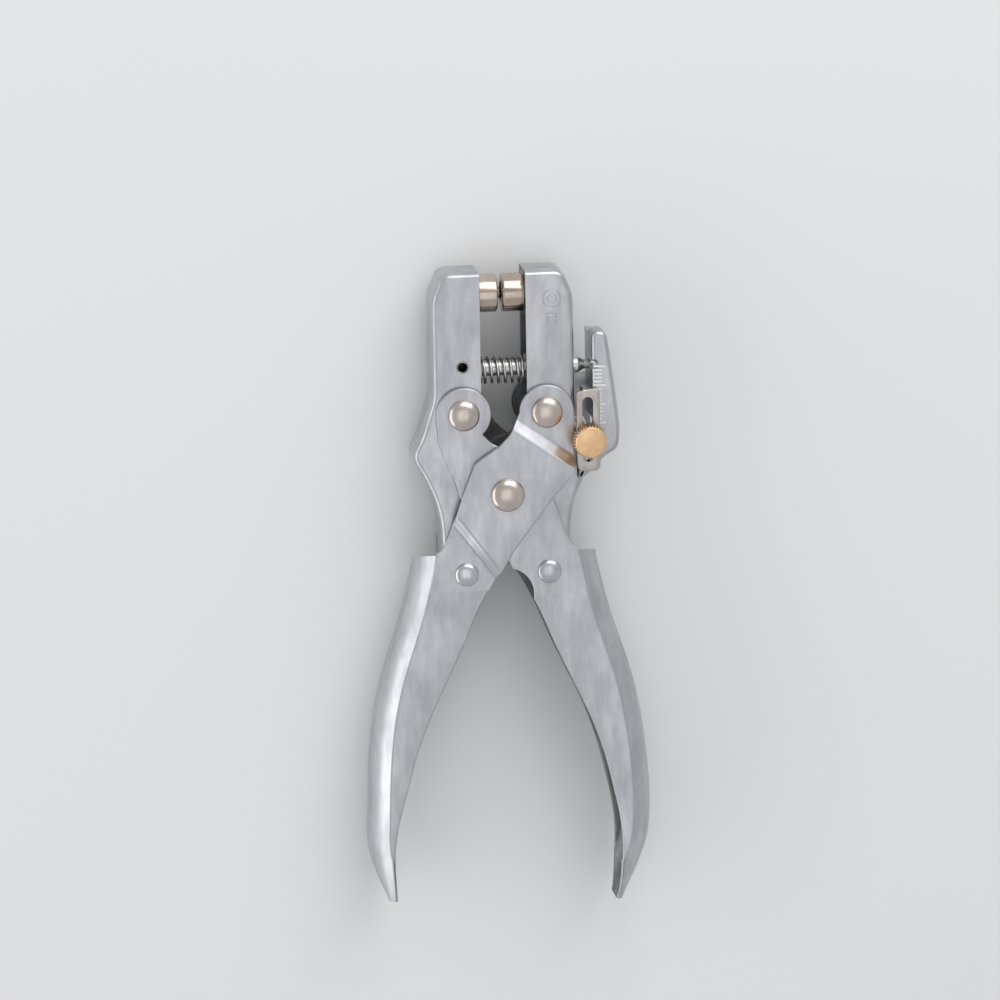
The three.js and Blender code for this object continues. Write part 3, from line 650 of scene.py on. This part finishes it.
def handle(rear, reach, stations):
    """One handle with its grip on the right: flat arm at the front, raised arm behind."""
    flat = arm_plate(reach, FLAT_ARM, LOW)
    scoop = rod(SCOOP_X, SCOOP_Y, SCOOP_RADIUS, LOW - FLUSH, LOW + SHEET + OVERRUN)
    made = cut(grip_channel(reach, stations), crossing_relief(), wall_slope(rear))
    made = cut(add(made, flat), scoop)
    made = cut(add(made, to_rear(raised_arm(reach))), rear_relief(rear))
    return cut(made, rod(-LINK_X, LINK_Y, LINK_HOLE), rod(0, 0, PIVOT_HOLE),
               rod(LINK_X, -LINK_Y, LOWER_HOLE))


right_handle = placed(handle(-1, RIGHT_REACH, RIGHT_GRIP), "right_handle_pressing",
                      "right_handle", zinc, ["right_handle"])
left_handle = placed(over(handle(1, LEFT_REACH, LEFT_GRIP)), "left_handle_pressing",
                     "left_handle", zinc, ["left_handle"])
# Painted shade on the faces inside the handles' channels.
paint_inside_shade(right_handle, 1)
paint_inside_shade(left_handle, -1)


# Jaws

# Outline of a jaw's back from its tip down: shares of its reach, then of the pins' place
JAW_TIP = [(0, 1), (0.78, 1), (1, 0.885)]
LEFT_FLARE = [(1, 1.2), (1.27, 0.7)]
TAIL_SHARE = -1.26
JAW_TAIL = [(1.475, 0.47), (1.233, 0.235), (1, -0.075), (0.89, -0.35), (0.87, -0.585),
            (0.87, TAIL_SHARE)]
TAIL = TAIL_SHARE * LINK_Y
LEDGE_Y, LEDGE_SHARE = 16.6, 1.3  # where the right jaw's flare is cut for the scale arm
JAW_BEND, JAW_BEND_STEPS = 1.3, 6
JAW_CORNER, JAW_INNER_CORNER = 2.4, 0.9
TAIL_CHAMFER = 3.4
SLOT_RADIUS = 2 + 0.2 + 0.8 + 0.2  # lower rivet, play, roller and play again
SLOT_LOW, SLOT_HIGH, SLOT_STEPS = -0.5, 4.6, 32  # from the lower pin
BUSH_HOLE = 3.1


def jaw_run(flare):
    run = [(THROAT + x * JAW_WIDTH, y * JAW_REACH) for x, y in JAW_TIP]
    return run + [(THROAT + x * JAW_WIDTH, y * LINK_Y) for x, y in flare + JAW_TAIL]


def inward(points, distance):
    """Moves an open run of points to its right-hand side."""
    sides = []
    for a, b in zip(points, points[1:]):
        edge = (Vector(b) - Vector(a)).normalized()
        sides.append(Vector((edge.y, -edge.x)))
    run = []
    for i, point in enumerate(points):
        before, after = sides[max(i - 1, 0)], sides[min(i, len(sides) - 1)]
        run.append(tuple(Vector(point) + (before + after) * (distance / (1 + before.dot(after)))))
    return run


def jaw_channel(run):
    edge = THROAT - JAW_BEND - OVERRUN
    outline = rounded(run, JAW_CORNER) + [(edge, TAIL), (edge, JAW_REACH)]
    outer = prism(outline, -JAW_FACE, JAW_FACE, JAW_BEND, JAW_BEND_STEPS)
    core = [tuple(point) for point in rounded(inward(run, SHEET), JAW_INNER_CORNER)]
    core[0] = (edge - OVERRUN, JAW_REACH - SHEET)
    core += [(core[-1][0], TAIL - OVERRUN), (edge - OVERRUN, TAIL - OVERRUN)]
    hollow = prism(core, SHEET - JAW_FACE, JAW_FACE - SHEET)
    kept = prism([(THROAT, FAR), (THROAT, TAIL + TAIL_CHAMFER), (THROAT + TAIL_CHAMFER, TAIL),
                  (THROAT + TAIL_CHAMFER, -FAR), (FAR, -FAR), (FAR, FAR)], -FAR, FAR)
    return joined("INTERSECT", cut(outer, hollow), kept)


def jaw_holes():
    slot = slot_outline(LINK_X, SLOT_LOW - LINK_Y, SLOT_HIGH - LINK_Y, SLOT_RADIUS, SLOT_STEPS)
    return [rod(LINK_X, LINK_Y, LINK_HOLE), prism(slot, -THROUGH, THROUGH)]


def screw_hole():
    return rod(SCREW_X, SCREW_Y, SCREW_HOLE, 0, THROUGH, FEW)


def left_jaw():
    pin_hole = rod(PIN_X, PIN_Y, PIN_HOLE, count=FEW)
    return cut(jaw_channel(jaw_run(LEFT_FLARE)), pin_hole, *jaw_holes())


SIGN_X, SIGN_DEPTH, SIGN_LINE, SIGN_COUNT = 13.0, 0.18, 0.3, 64
FLANGE_Y, FLANGE_SIGN, BARREL_SIGN = 51.4, 2.5, 1.3  # the eyelet from above
SIDE_Y, SIDE_FLANGE, SIDE_TOP, SIDE_LOW = 45.6, 2.4, 1.5, 1.8  # and from the side


def eyelet_sign():
    """Grooves of a plain sign: an eyelet from above, and below it one from the side."""
    low, high = JAW_FACE - SIGN_DEPTH, JAW_FACE + PAST

    def ring(radius, count):
        return cut(rod(SIGN_X, FLANGE_Y, radius, low, high, count),
                   rod(SIGN_X, FLANGE_Y, radius - SIGN_LINE, low - PAST, high + PAST, count))

    def bar(left, right, bottom, top):
        return box(SIGN_X + left, SIGN_X + right, SIDE_Y + bottom, SIDE_Y + top, low, high)

    return add(ring(FLANGE_SIGN, SIGN_COUNT), ring(BARREL_SIGN, FEW),
               bar(-SIDE_FLANGE, SIDE_FLANGE, SIDE_TOP, SIDE_TOP + SIGN_LINE),
               bar(-BARREL_SIGN, SIGN_LINE - BARREL_SIGN, -SIDE_LOW, SIDE_TOP + FLUSH),
               bar(BARREL_SIGN - SIGN_LINE, BARREL_SIGN, -SIDE_LOW, SIDE_TOP + FLUSH))


def right_jaw():
    run = jaw_run([])
    tip = len(JAW_TIP)
    run[tip:tip] = [(JAW_BACK, LEDGE_Y), (THROAT + LEDGE_SHARE * JAW_WIDTH, LEDGE_Y)]
    bush = along_x(rod(0, 0, BUSH_HOLE, JAW_BACK - SHEET - OVERRUN, JAW_BACK + OVERRUN, FEW), ROD_Y)
    return cut(jaw_channel(run), bush, screw_hole(), eyelet_sign(), *jaw_holes())


right_pressing = placed(right_jaw(), "right_jaw_pressing", "right_jaw", zinc, ["right_jaw"])
left_pressing = placed(over(left_jaw()), "left_jaw_pressing", "left_jaw", zinc, ["left_jaw"])
# Painted shade on the faces inside the jaws' channels.
paint_inside_shade(right_pressing, 1)
paint_inside_shade(left_pressing, -1)


# Pins

REAR_HEAD, REAR_RIM, REAR_STEPS = 1.2, 0.3, 5  # thickness of a rivet's flat head, its rounding
DOME_RIM, DOME_UNDERCUT, DOME_STEPS = 0.25, 0.12, 20
# Shank, head, height of the dome, and middle plane to both heads
PIVOT_RIVET = (2.6, 4.45, 2.3, 10.7)
UPPER_RIVET, LOWER_RIVET = (2.25, 4.15, 2.1, 8.9), (2.0, 3.1, 1.4, 8.9)
# Bore, radius, low and high end
SLEEVE, ROLLER = (2.8, 4.1, -7.2, 7.2), (2.2, 3.0, -7, 7)


def rivet(radius, head, dome, seat):
    foot, rise = -seat - REAR_HEAD, seat + DOME_RIM
    turns = [math.pi / 2 * i / DOME_STEPS for i in range(DOME_STEPS)]
    height = dome - DOME_RIM
    return turned([(0, foot)] + arc(head - REAR_RIM, foot + REAR_RIM, REAR_RIM, -90, 0, REAR_STEPS)
                  + [(head, -seat), (radius, -seat), (radius, seat), (head - DOME_UNDERCUT, seat)]
                  + [(head * math.cos(t), rise + height * math.sin(t)) for t in turns]
                  + [(0, rise + height)])


def tube(inner, outer, low, high, rim=0.15):
    return turned([(inner, low + rim), (inner + rim, low), (outer - rim, low), (outer, low + rim),
                   (outer, high - rim), (outer - rim, high), (inner + rim, high),
                   (inner, high - rim)])


def pin(name, body, x, y, piece, material):
    placed(moved(piece, x, y), name + "_turned", body, material, [name])


for name, body, x, y, sizes, material in (
        ("pivot_rivet", "left_handle", 0, 0, PIVOT_RIVET, nickel),
        ("upper_left_rivet", "right_handle", -LINK_X, LINK_Y, UPPER_RIVET, nickel),
        ("upper_right_rivet", "left_handle", LINK_X, LINK_Y, UPPER_RIVET, nickel),
        ("lower_left_rivet", "left_handle", -LINK_X, -LINK_Y, LOWER_RIVET, cool_nickel),
        ("lower_right_rivet", "right_handle", LINK_X, -LINK_Y, LOWER_RIVET, cool_nickel)):
    pin(name, body, x, y, rivet(*sizes), material)
for name, body, x, y, sizes in (
        ("pivot_sleeve", "left_handle", 0, 0, SLEEVE),
        ("lower_left_roller", "left_handle", -LINK_X, -LINK_Y, ROLLER),
        ("lower_right_roller", "right_handle", LINK_X, -LINK_Y, ROLLER)):
    pin(name, body, x, y, tube(*sizes), steel)


# Dies, rod and spring

DIE_Y, DIE_RADIUS, DIE_RIM, DIE_STEPS = 52.3, 5.05, 0.6, 6
DIE_BACK, DIE_BACK_RIM, DIE_BACK_STEPS = 6.0, 0.25, 4
SPIGOT_RADIUS, SPIGOT_END = 2.9, 11.6
PUNCH_FACE, ANVIL_FACE = 0.9, 0.3  # from the centre plane
PILOT_REACH = 1.5
PILOT = [(1.0, 0), (1.35, 0.13), (1.5, 0.5)]  # radius, and distance from its tip
BORE, BORE_DEPTH, BORE_RIM = 1.9, 1.5, 0.35
GROOVE, GROOVE_RADIUS = 1.3, 0.65  # width beside the bore, and depth
GROOVE_ARC = (160, 20, 8)  # from and to in degrees, and steps


def die_body(face):
    """From the rim of the working face to the spigot's end."""
    return (arc(DIE_RADIUS - DIE_RIM, face + DIE_RIM, DIE_RIM, -90, 0, DIE_STEPS)
            + arc(DIE_RADIUS - DIE_BACK_RIM, DIE_BACK - DIE_BACK_RIM, DIE_BACK_RIM, 0, 90,
                  DIE_BACK_STEPS)
            + [(SPIGOT_RADIUS, DIE_BACK), (SPIGOT_RADIUS, SPIGOT_END), (0, SPIGOT_END)])


def punch_die():
    tip = PUNCH_FACE - PILOT_REACH
    return turned([(0, tip)] + [(radius, tip + along) for radius, along in PILOT]
                  + [(PILOT[-1][0], PUNCH_FACE)] + die_body(PUNCH_FACE))


def anvil_die():
    bottom = ANVIL_FACE + BORE_DEPTH
    return turned([(0, bottom), (BORE, bottom), (BORE, ANVIL_FACE + BORE_RIM)]
                  + arc(BORE + GROOVE_RADIUS, ANVIL_FACE, GROOVE_RADIUS, *GROOVE_ARC)
                  + [(BORE + GROOVE, ANVIL_FACE)] + die_body(ANVIL_FACE))


placed(along_x(anvil_die(), DIE_Y), "right_die_turned", "right_jaw", warm_nickel, ["right_die"])
placed(over(along_x(punch_die(), DIE_Y)), "left_die_turned", "left_jaw", warm_nickel, ["left_die"])

ROD_RADIUS, ROD_OVERHANG, ROD_BACK = 2.1, 3.2, 16.9
NOSE_LENGTH, NOSE_RADIUS, NOSE_TIP, NOSE_RIM, NOSE_STEPS = 2.8, 1.2, 1.15, 0.6, 8
NECK_STEPS, NECK_LENGTH, NECK_SET = 12, 2.2, 0.4  # the smooth run from the nose to the rod
NECK_MIDDLE, NECK_HALF = 1.65, 0.45  # its radius half way, and half its growth
COLLAR_RADIUS, COLLAR_END = 3.5, 7.1
BUSH_BORE, BUSH_RADIUS, BUSH_CHAMFER, BUSH_PROUD = 2.3, 3.0, 0.1, 0.3
BUSH_RIM, BUSH_FLANGE_CHAMFER = 3.35, 0.15
ROLL_PIN = (1.25, 1.55, -6.9, 6.9, 0.1)  # bore, radius, low and high end, rim
ROLL_PIN_CREASE, WIRE_CREASE, KNOB_CREASE = 25, 60, 30  # degrees
BORE_NORMAL = -0.5  # cosine past which a face of the roll pin looks into its bore


def guide_rod():
    """The rod with its collar, built on the left side: its nose points to the right jaw."""
    end = -(JAW_BACK + ROD_OVERHANG)
    tip = end - NOSE_LENGTH
    profile = [(0, tip)] + arc(NOSE_TIP - NOSE_RIM, tip + NOSE_RIM, NOSE_RIM, -90, 0, NOSE_STEPS)
    profile += [(NOSE_RADIUS, end - NECK_SET)]
    for i in range(1, NECK_STEPS + 1):
        radius = NECK_MIDDLE - NECK_HALF * math.cos(math.pi * i / NECK_STEPS)
        profile.append((radius, end - NECK_SET + NECK_LENGTH * i / NECK_STEPS))
    profile += [(ROD_RADIUS, SEAT), (COLLAR_RADIUS, SEAT), (COLLAR_RADIUS, COLLAR_END),
                (ROD_RADIUS, COLLAR_END), (ROD_RADIUS, ROD_BACK), (0, ROD_BACK)]
    return cut(along_x(turned(profile), ROD_Y), rod(PIN_X, PIN_Y, ROD_CROSS_HOLE, count=FEW))


def guide_bush():
    end = JAW_BACK + BUSH_PROUD
    return along_x(turned([(BUSH_BORE, SEAT), (BUSH_RIM, SEAT),
                           (COLLAR_RADIUS, SEAT + BUSH_FLANGE_CHAMFER), (COLLAR_RADIUS, COLLAR_END),
                           (BUSH_RADIUS, COLLAR_END), (BUSH_RADIUS, end - BUSH_CHAMFER),
                           (BUSH_RADIUS - BUSH_CHAMFER, end), (BUSH_BORE, end)]), ROD_Y)


placed(over(guide_rod()), "guide_rod_turned", "left_jaw", steel, ["guide_rod"])
placed(guide_bush(), "guide_bush_turned", "right_jaw", steel, ["guide_bush"])
roll_pin = placed(over(moved(tube(*ROLL_PIN), PIN_X, PIN_Y)), "roll_pin_tube",
                  "left_jaw", steel, ["rod_roll_pin"], ROLL_PIN_CREASE)
# The faces that look into the pin's bore get painted shade.
roll_pin.data.materials.append(bore_shade)
for face in roll_pin.data.polygons:
    outward = face.center - Vector((-PIN_X * MM, PIN_Y * MM, face.center.z))
    face.material_index = int(face.normal.dot(outward) < BORE_NORMAL * outward.length)

WIRE_RADIUS, COIL_RADIUS = 0.38, 3.37
COILS, CLOSED_COILS, COIL_GAP = 7.7, 1.0, 0.06  # closed coils at each end, and their gap
COIL_STEPS, WIRE_SIDES = 48, 14
SPRING_HANG = 0.5  # the spring rests on the rod, so its axis lies this much lower
WIRE_END, WIRE_END_STEPS = 0.35, 4  # share of the radius that the wire's ends taper to


def spring():
    """A round wire along a helix with a closed turn at each end, resting on the rod."""
    start, end = -SEAT + WIRE_RADIUS, SEAT - WIRE_RADIUS
    close = 2 * WIRE_RADIUS + COIL_GAP
    open_coils = COILS - 2 * CLOSED_COILS
    pitch = (end - start - 2 * CLOSED_COILS * close) / open_coils
    count = int(COILS * COIL_STEPS)
    rings = []
    for i in range(count + 1):
        turn = COILS * i / count
        x = start + close * min(turn, CLOSED_COILS)
        x += pitch * min(max(turn - CLOSED_COILS, 0), open_coils)
        x += close * max(turn - COILS + CLOSED_COILS, 0)
        angle = 2 * math.pi * turn
        out = Vector((0, math.cos(angle), math.sin(angle)))
        along = Vector((pitch / (2 * math.pi * COIL_RADIUS), -math.sin(angle), math.cos(angle)))
        side = along.normalized().cross(out).normalized()
        middle = Vector((x, ROD_Y - SPRING_HANG, 0)) + out * COIL_RADIUS
        fade = min(1, WIRE_END + (1 - WIRE_END) * min(i, count - i) / WIRE_END_STEPS)
        rings.append([middle + (out * math.cos(a) + side * math.sin(a)) * WIRE_RADIUS * fade
                      for a in (2 * math.pi * k / WIRE_SIDES for k in range(WIRE_SIDES))])
    return skinned(rings)


coil = placed(spring(), "jaw_spring_wire", None, steel, ["jaw_spring"],
              WIRE_CREASE)
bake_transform(coil)


# Scale arm, stop and thumb screw

ARM_SHEET = 1.0
ARM_X, ARM_WIDTH, ARM_TOP = JAW_BACK + 4.5, 7.3, 42.4
ARM_LOW, ARM_HIGH = 7.1, 8.1
ARM_LEFT, ARM_BOTTOM = JAW_BACK + 0.2, 2
ARM_STEP = 30  # a point on the arm's straight left side
ARM_CORNER, ARM_RIM, ARM_RIM_STEPS = 2.2, 1.2, 6
ARM_INNER_RIM, ARM_INNER_STEPS = 0.3, 4
ARM_EDGE = [(0.55, 1), (0.81, 0.686), (1, 0.4), (0.97, 0.29), (0.85, 0.243), (0.41, 0.205),
            (0.04, 0.125)]
ARM_CUT = ARM_SHEET + 0.05  # keeps a cutter clear of the inside of the walls
ARM_FROM, ARM_TO, ARM_BESIDE, ARM_LEFT_CUT = -10, 60, 20, 5  # past the arm along Y and X
BLANK_LOW, HOLLOW_LOW, REAR_LOW, WALL_LOW = -20, -30, -40, -10  # low ends of blank and cutters
FOOT_LOW, FOOT_HIGH, FOOT_TOP, FOOT_RIM = -5.5, -4.5, 29.3, 0.3
FLANGE_LOW, FLANGE_HIGH, TIP_LOW = 19.0, 0.6, 0.5
# The foot's toe below the flange, from the right jaw's back
TOE = [(1.6, 20), (1.6, 17.2), (3.9, 17.2), (4.1, 16.4), (4.7, 14.6), (5.5, 14.6), (5.5, 20)]
ROD_NOSE_HOLE = 1.5
# The countersunk hole at the scale's top: place, radii and heights
BITE_X, BITE_Y, BITE_RADIUS, BITE_FLARE, BITE_LOW, BITE_START = 0.2, 0.4, 1.05, 1.8, -1, 0.2
TICK_TOP, TICKS, TICK_HALF, LONG_EVERY = 33.0, 16, 0.24, 5
TICK_START, LONG_TICK, SHORT_TICK = 0.3, 3.7, 2.7
TICK_DEPTH = 0.18
FILL_BACK, FILL_FRONT, FILL_MARGIN = 0.2, 0.06, 0.03  # the marks that fill the grooves below the arm's face, painted white as a highlight


def marks(low, high, margin=0.0):
    """Bars at the places of the millimetre scale, every fifth one longer."""
    points, faces = [], []
    for i in range(TICKS):
        y = TICK_TOP - i
        left = ARM_X + TICK_START + margin
        right = ARM_X + (LONG_TICK if i % LONG_EVERY == 0 else SHORT_TICK) - margin
        back, front = y - TICK_HALF + margin, y + TICK_HALF - margin
        n = len(points)
        points += [(x, y, z) for z in (low, high)
                   for x, y in ((left, back), (right, back), (right, front), (left, front))]
        faces += [(n, n + 1, n + 2, n + 3), (n + 4, n + 5, n + 6, n + 7)]
        faces += [(n + k, n + (k + 1) % 4, n + 4 + (k + 1) % 4, n + 4 + k) for k in range(4)]
    return solid(points, faces)


def arm_shell():
    """The arm's face with its rolled rim and the walls that stay."""
    edge = [(ARM_X + x * ARM_WIDTH, y * ARM_TOP) for x, y in ARM_EDGE]
    outline = [tuple(point) for point in rounded(
        [(ARM_X, ARM_STEP), (ARM_X, ARM_TOP)] + edge
        + [(ARM_LEFT, ARM_BOTTOM), (ARM_LEFT, LEDGE_Y), (ARM_X, LEDGE_Y), (ARM_X, ARM_STEP)],
        ARM_CORNER)][:-1]
    hollow = [tuple(point) for point in inset(outline[::-1], ARM_SHEET)]
    wall, tip = ARM_X + ARM_CUT, ARM_TOP - ARM_CUT
    left, right = ARM_X - ARM_BESIDE, ARM_X + ARM_BESIDE
    return cut(prism(outline, BLANK_LOW, ARM_HIGH, ARM_RIM, ARM_RIM_STEPS),
               prism(hollow, HOLLOW_LOW, ARM_LOW, ARM_INNER_RIM, ARM_INNER_STEPS),
               box(left, right, ARM_FROM, ARM_TO, REAR_LOW, FOOT_LOW),
               box(ARM_LEFT - ARM_LEFT_CUT, wall, ARM_FROM, FLANGE_LOW, WALL_LOW, ARM_LOW),
               box(wall, right, ARM_FROM, tip, WALL_LOW, ARM_LOW),
               box(ARM_X - ARM_SHEET, right, tip, ARM_TO, WALL_LOW, TIP_LOW))


def scale_arm():
    toe = prism([(JAW_BACK + x, y) for x, y in TOE], FOOT_LOW, FOOT_HIGH)
    foot = box(ARM_LEFT, ARM_X + ARM_SHEET, FLANGE_LOW, FOOT_TOP, FOOT_LOW, FOOT_HIGH, FOOT_RIM)
    foot = add(foot, toe)
    flange = box(ARM_X, ARM_X + ARM_SHEET, FLANGE_LOW, ARM_TOP - ARM_CUT, FOOT_LOW, FLANGE_HIGH)
    bite = turned([(0, BITE_LOW), (BITE_RADIUS, BITE_LOW), (BITE_RADIUS, ARM_LOW + BITE_START),
                   (BITE_FLARE, ARM_HIGH + FLUSH), (0, ARM_HIGH + FLUSH)], FEW)
    moved(bite, ARM_X + BITE_X, TICK_TOP + BITE_Y)
    nose = along_x(rod(0, 0, ROD_NOSE_HOLE, ARM_X - OVERRUN, ARM_X + OVERRUN, FEW), ROD_Y)
    return cut(add(arm_shell(), flange, foot), nose, bite, screw_hole(),
               marks(ARM_HIGH - TICK_DEPTH, ARM_HIGH + PAST))


placed(scale_arm(), "scale_arm_pressing", "right_jaw", zinc, ["scale_arm"])
# The scale marks, painted white as a highlight on the stamped lines.
placed(marks(ARM_HIGH - FILL_BACK, ARM_HIGH - FILL_FRONT, FILL_MARGIN), "scale_marks", "right_jaw",
       marks_highlight, [])

STOP_LEFT, STOP_RIGHT = JAW_BACK + 0.1, JAW_BACK + 6.3
STOP_LOW, STOP_HIGH, STOP_RIM = 8.2, 9.2, 0.22
STOP_BOTTOM, STOP_TOP_LEFT, STOP_TOP_RIGHT = 5.2, 26.5, 27.5
STOP_SIDE = 15  # a point on each straight side of the plate
STOP_RADII = [2.4, 1, 1.5, 0.6, 1, 2.4]
STOP_SLOT_LOW, STOP_SLOT_HIGH, STOP_SLOT_STEPS = 7.7, 25.1, 24
TAB_REACH, TAB_HALF, TAB_RIM = 6.0, 1.3, 0.15
TAB_START, TAB_INNER, TAB_OUTER = 25.5, 26.0, 27.3
TAB_RADII = [0.5, 0.2, 0.2, 1.3]


def stop_plate():
    middle = (STOP_LEFT + STOP_RIGHT) / 2
    run = rounded([(middle, STOP_BOTTOM), (STOP_RIGHT, STOP_BOTTOM), (STOP_RIGHT, STOP_SIDE),
                   (STOP_RIGHT, STOP_TOP_RIGHT), (STOP_LEFT, STOP_TOP_LEFT), (STOP_LEFT, STOP_SIDE),
                   (STOP_LEFT, STOP_BOTTOM), (middle, STOP_BOTTOM)], STOP_RADII)
    plate = prism(run[:-1], STOP_LOW, STOP_HIGH, STOP_RIM)
    slot = slot_outline(SCREW_X, STOP_SLOT_LOW + SCREW_HOLE, STOP_SLOT_HIGH - SCREW_HOLE,
                        SCREW_HOLE, STOP_SLOT_STEPS)
    end = STOP_HIGH - TAB_REACH
    profile = rounded([(TAB_INNER, end), (TAB_INNER, STOP_LOW), (TAB_START, STOP_LOW),
                       (TAB_START, STOP_HIGH), (TAB_OUTER, STOP_HIGH), (TAB_OUTER, end)], TAB_RADII)
    tab = on_edge(prism(profile, SCREW_X - TAB_HALF, SCREW_X + TAB_HALF, TAB_RIM))
    return add(cut(plate, prism(slot, 0, THROUGH)), tab)


placed(stop_plate(), "stop_plate_pressing", "stop", stop_nickel, ["stop_plate"])

TEETH, TOOTH_TIP, TOOTH_ROOT, TOOTH_LEAN = 32, 4.4, 4.05, 0.2
KNOB_SEAT, KNURL_HEIGHT, KNURL_RIM = 9.3, 5.6, 0.2
KNOB_CROWN = [(3.9, 5.74), (2.2, 5.9), (0.5, 5.99), (0, 6)]  # radius, and height over the seat
SCREW_RADIUS, SCREW_END = 1.35, 5.5


def thumb_screw():
    outline = []
    steps = TEETH * 4
    for i in range(steps):
        radius = TOOTH_TIP if i % 4 in (1, 2) else TOOTH_ROOT
        lean = TOOTH_LEAN if i % 4 in (0, 2) else -TOOTH_LEAN
        turn = 2 * math.pi * (i + lean) / steps
        outline.append((radius * math.cos(turn), radius * math.sin(turn)))
    knurl = prism(outline, KNOB_SEAT, KNOB_SEAT + KNURL_HEIGHT, KNURL_RIM)
    foot = KNOB_SEAT + OVERRUN
    cap = turned([(0, foot), (TOOTH_ROOT, foot), (TOOTH_ROOT, KNOB_SEAT + KNURL_HEIGHT)]
                 + [(radius, KNOB_SEAT + height) for radius, height in KNOB_CROWN])
    shank = rod(0, 0, SCREW_RADIUS, SCREW_END, KNOB_SEAT + PAST, FEW)
    return moved(add(knurl, cap, shank), SCREW_X, SCREW_Y)


placed(thumb_screw(), "thumb_screw_knurled", "thumb_screw", brass, ["thumb_screw"],
       KNOB_CREASE)


# Floor, light and camera, in metres

FLOOR_SIZE, FLOOR_NOISE, FLOOR_ROUGHNESS = 6, 3.0, 0.7
FLOOR_TINTS = (0.80, 0.80, 0.80, 1), (0.83, 0.83, 0.825, 1)
SOFTBOXES = {  # place, aim, size and power in watts
    "key": ((0.28, 0.75, 0.50), (0, 0, 0), (0.80, 0.75), 4),
    "front": ((0.0, -0.10, 1.40), (0, 0, 0), (0.9, 0.9), 1.35),
    "left": ((-0.80, -0.20, 0.27), (0, -0.02, 0.01), (1.3, 0.35), 2.4),
}
SKY_TINT, SKY_STRENGTH = (0.96, 0.97, 1.0, 1), 0.6
CAMERA_TOWARD, CAMERA_ACROSS, CAMERA_ROLL = (-0.119, 0.208, 0.971), (0.9926, 0, 0.1217), 1.0
CAMERA_AIM, CAMERA_RIGHT, CAMERA_UP = (0, 0, 0.0232), -0.00218, -0.00118
CAMERA_DISTANCE = 2.2
CLIP_START = 0.01
SENSOR, LENS_PER_METRE = 36, 136.8  # in mm


def floor():
    bpy.ops.mesh.primitive_plane_add(size=FLOOR_SIZE, location=(0, 0, 0))
    made = bpy.context.object
    made.name = "floor"
    paint = bpy.data.materials.new("floor_paper")
    paint.use_nodes = True
    tree = paint.node_tree
    shader = tree.nodes["Principled BSDF"]
    place = node(tree, "ShaderNodeTexCoord").outputs["Object"]
    feed(tree, shader, "Base Color",
         blended(tree, noise(tree, place, FLOOR_NOISE), *FLOOR_TINTS))
    feed(tree, shader, "Roughness", FLOOR_ROUGHNESS)
    made.data.materials.append(paint)


def softbox(name, place, aim, size, power):
    lamp = bpy.data.lights.new(name, "AREA")
    lamp.shape = "RECTANGLE"
    lamp.size, lamp.size_y = size
    lamp.energy = power
    made = bpy.data.objects.new(name, lamp)
    bpy.context.scene.collection.objects.link(made)
    made.location = place
    made.rotation_euler = (Vector(aim) - Vector(place)).to_track_quat("-Z", "Y").to_euler()


def sky():
    world = bpy.data.worlds.new("studio")
    world.use_nodes = True
    light = world.node_tree.nodes["Background"]
    feed(world.node_tree, light, "Color", SKY_TINT)
    feed(world.node_tree, light, "Strength", SKY_STRENGTH)
    bpy.context.scene.world = world


def camera():
    """The photograph's view: a long lens two metres away, nearly straight over the front."""
    toward = Vector(CAMERA_TOWARD).normalized()
    across = Vector(CAMERA_ACROSS).normalized()
    upward = toward.cross(across)
    roll = math.radians(CAMERA_ROLL)
    right = across * math.cos(roll) - upward * math.sin(roll)
    up = across * math.sin(roll) + upward * math.cos(roll)
    aim = Vector(CAMERA_AIM) + right * CAMERA_RIGHT + up * CAMERA_UP
    lens = bpy.data.cameras.new("camera")
    lens.sensor_width = SENSOR
    lens.lens = LENS_PER_METRE * CAMERA_DISTANCE
    lens.clip_start = CLIP_START
    made = bpy.data.objects.new("camera", lens)
    bpy.context.scene.collection.objects.link(made)
    turn = Matrix((right, up, toward)).transposed().to_4x4()
    made.matrix_world = Matrix.Translation(aim + toward * CAMERA_DISTANCE) @ turn
    bpy.context.scene.camera = made


floor()
for name, values in SOFTBOXES.items():
    softbox(name, *values)
sky()
bpy.context.scene.view_settings.view_transform = "Standard"
camera()
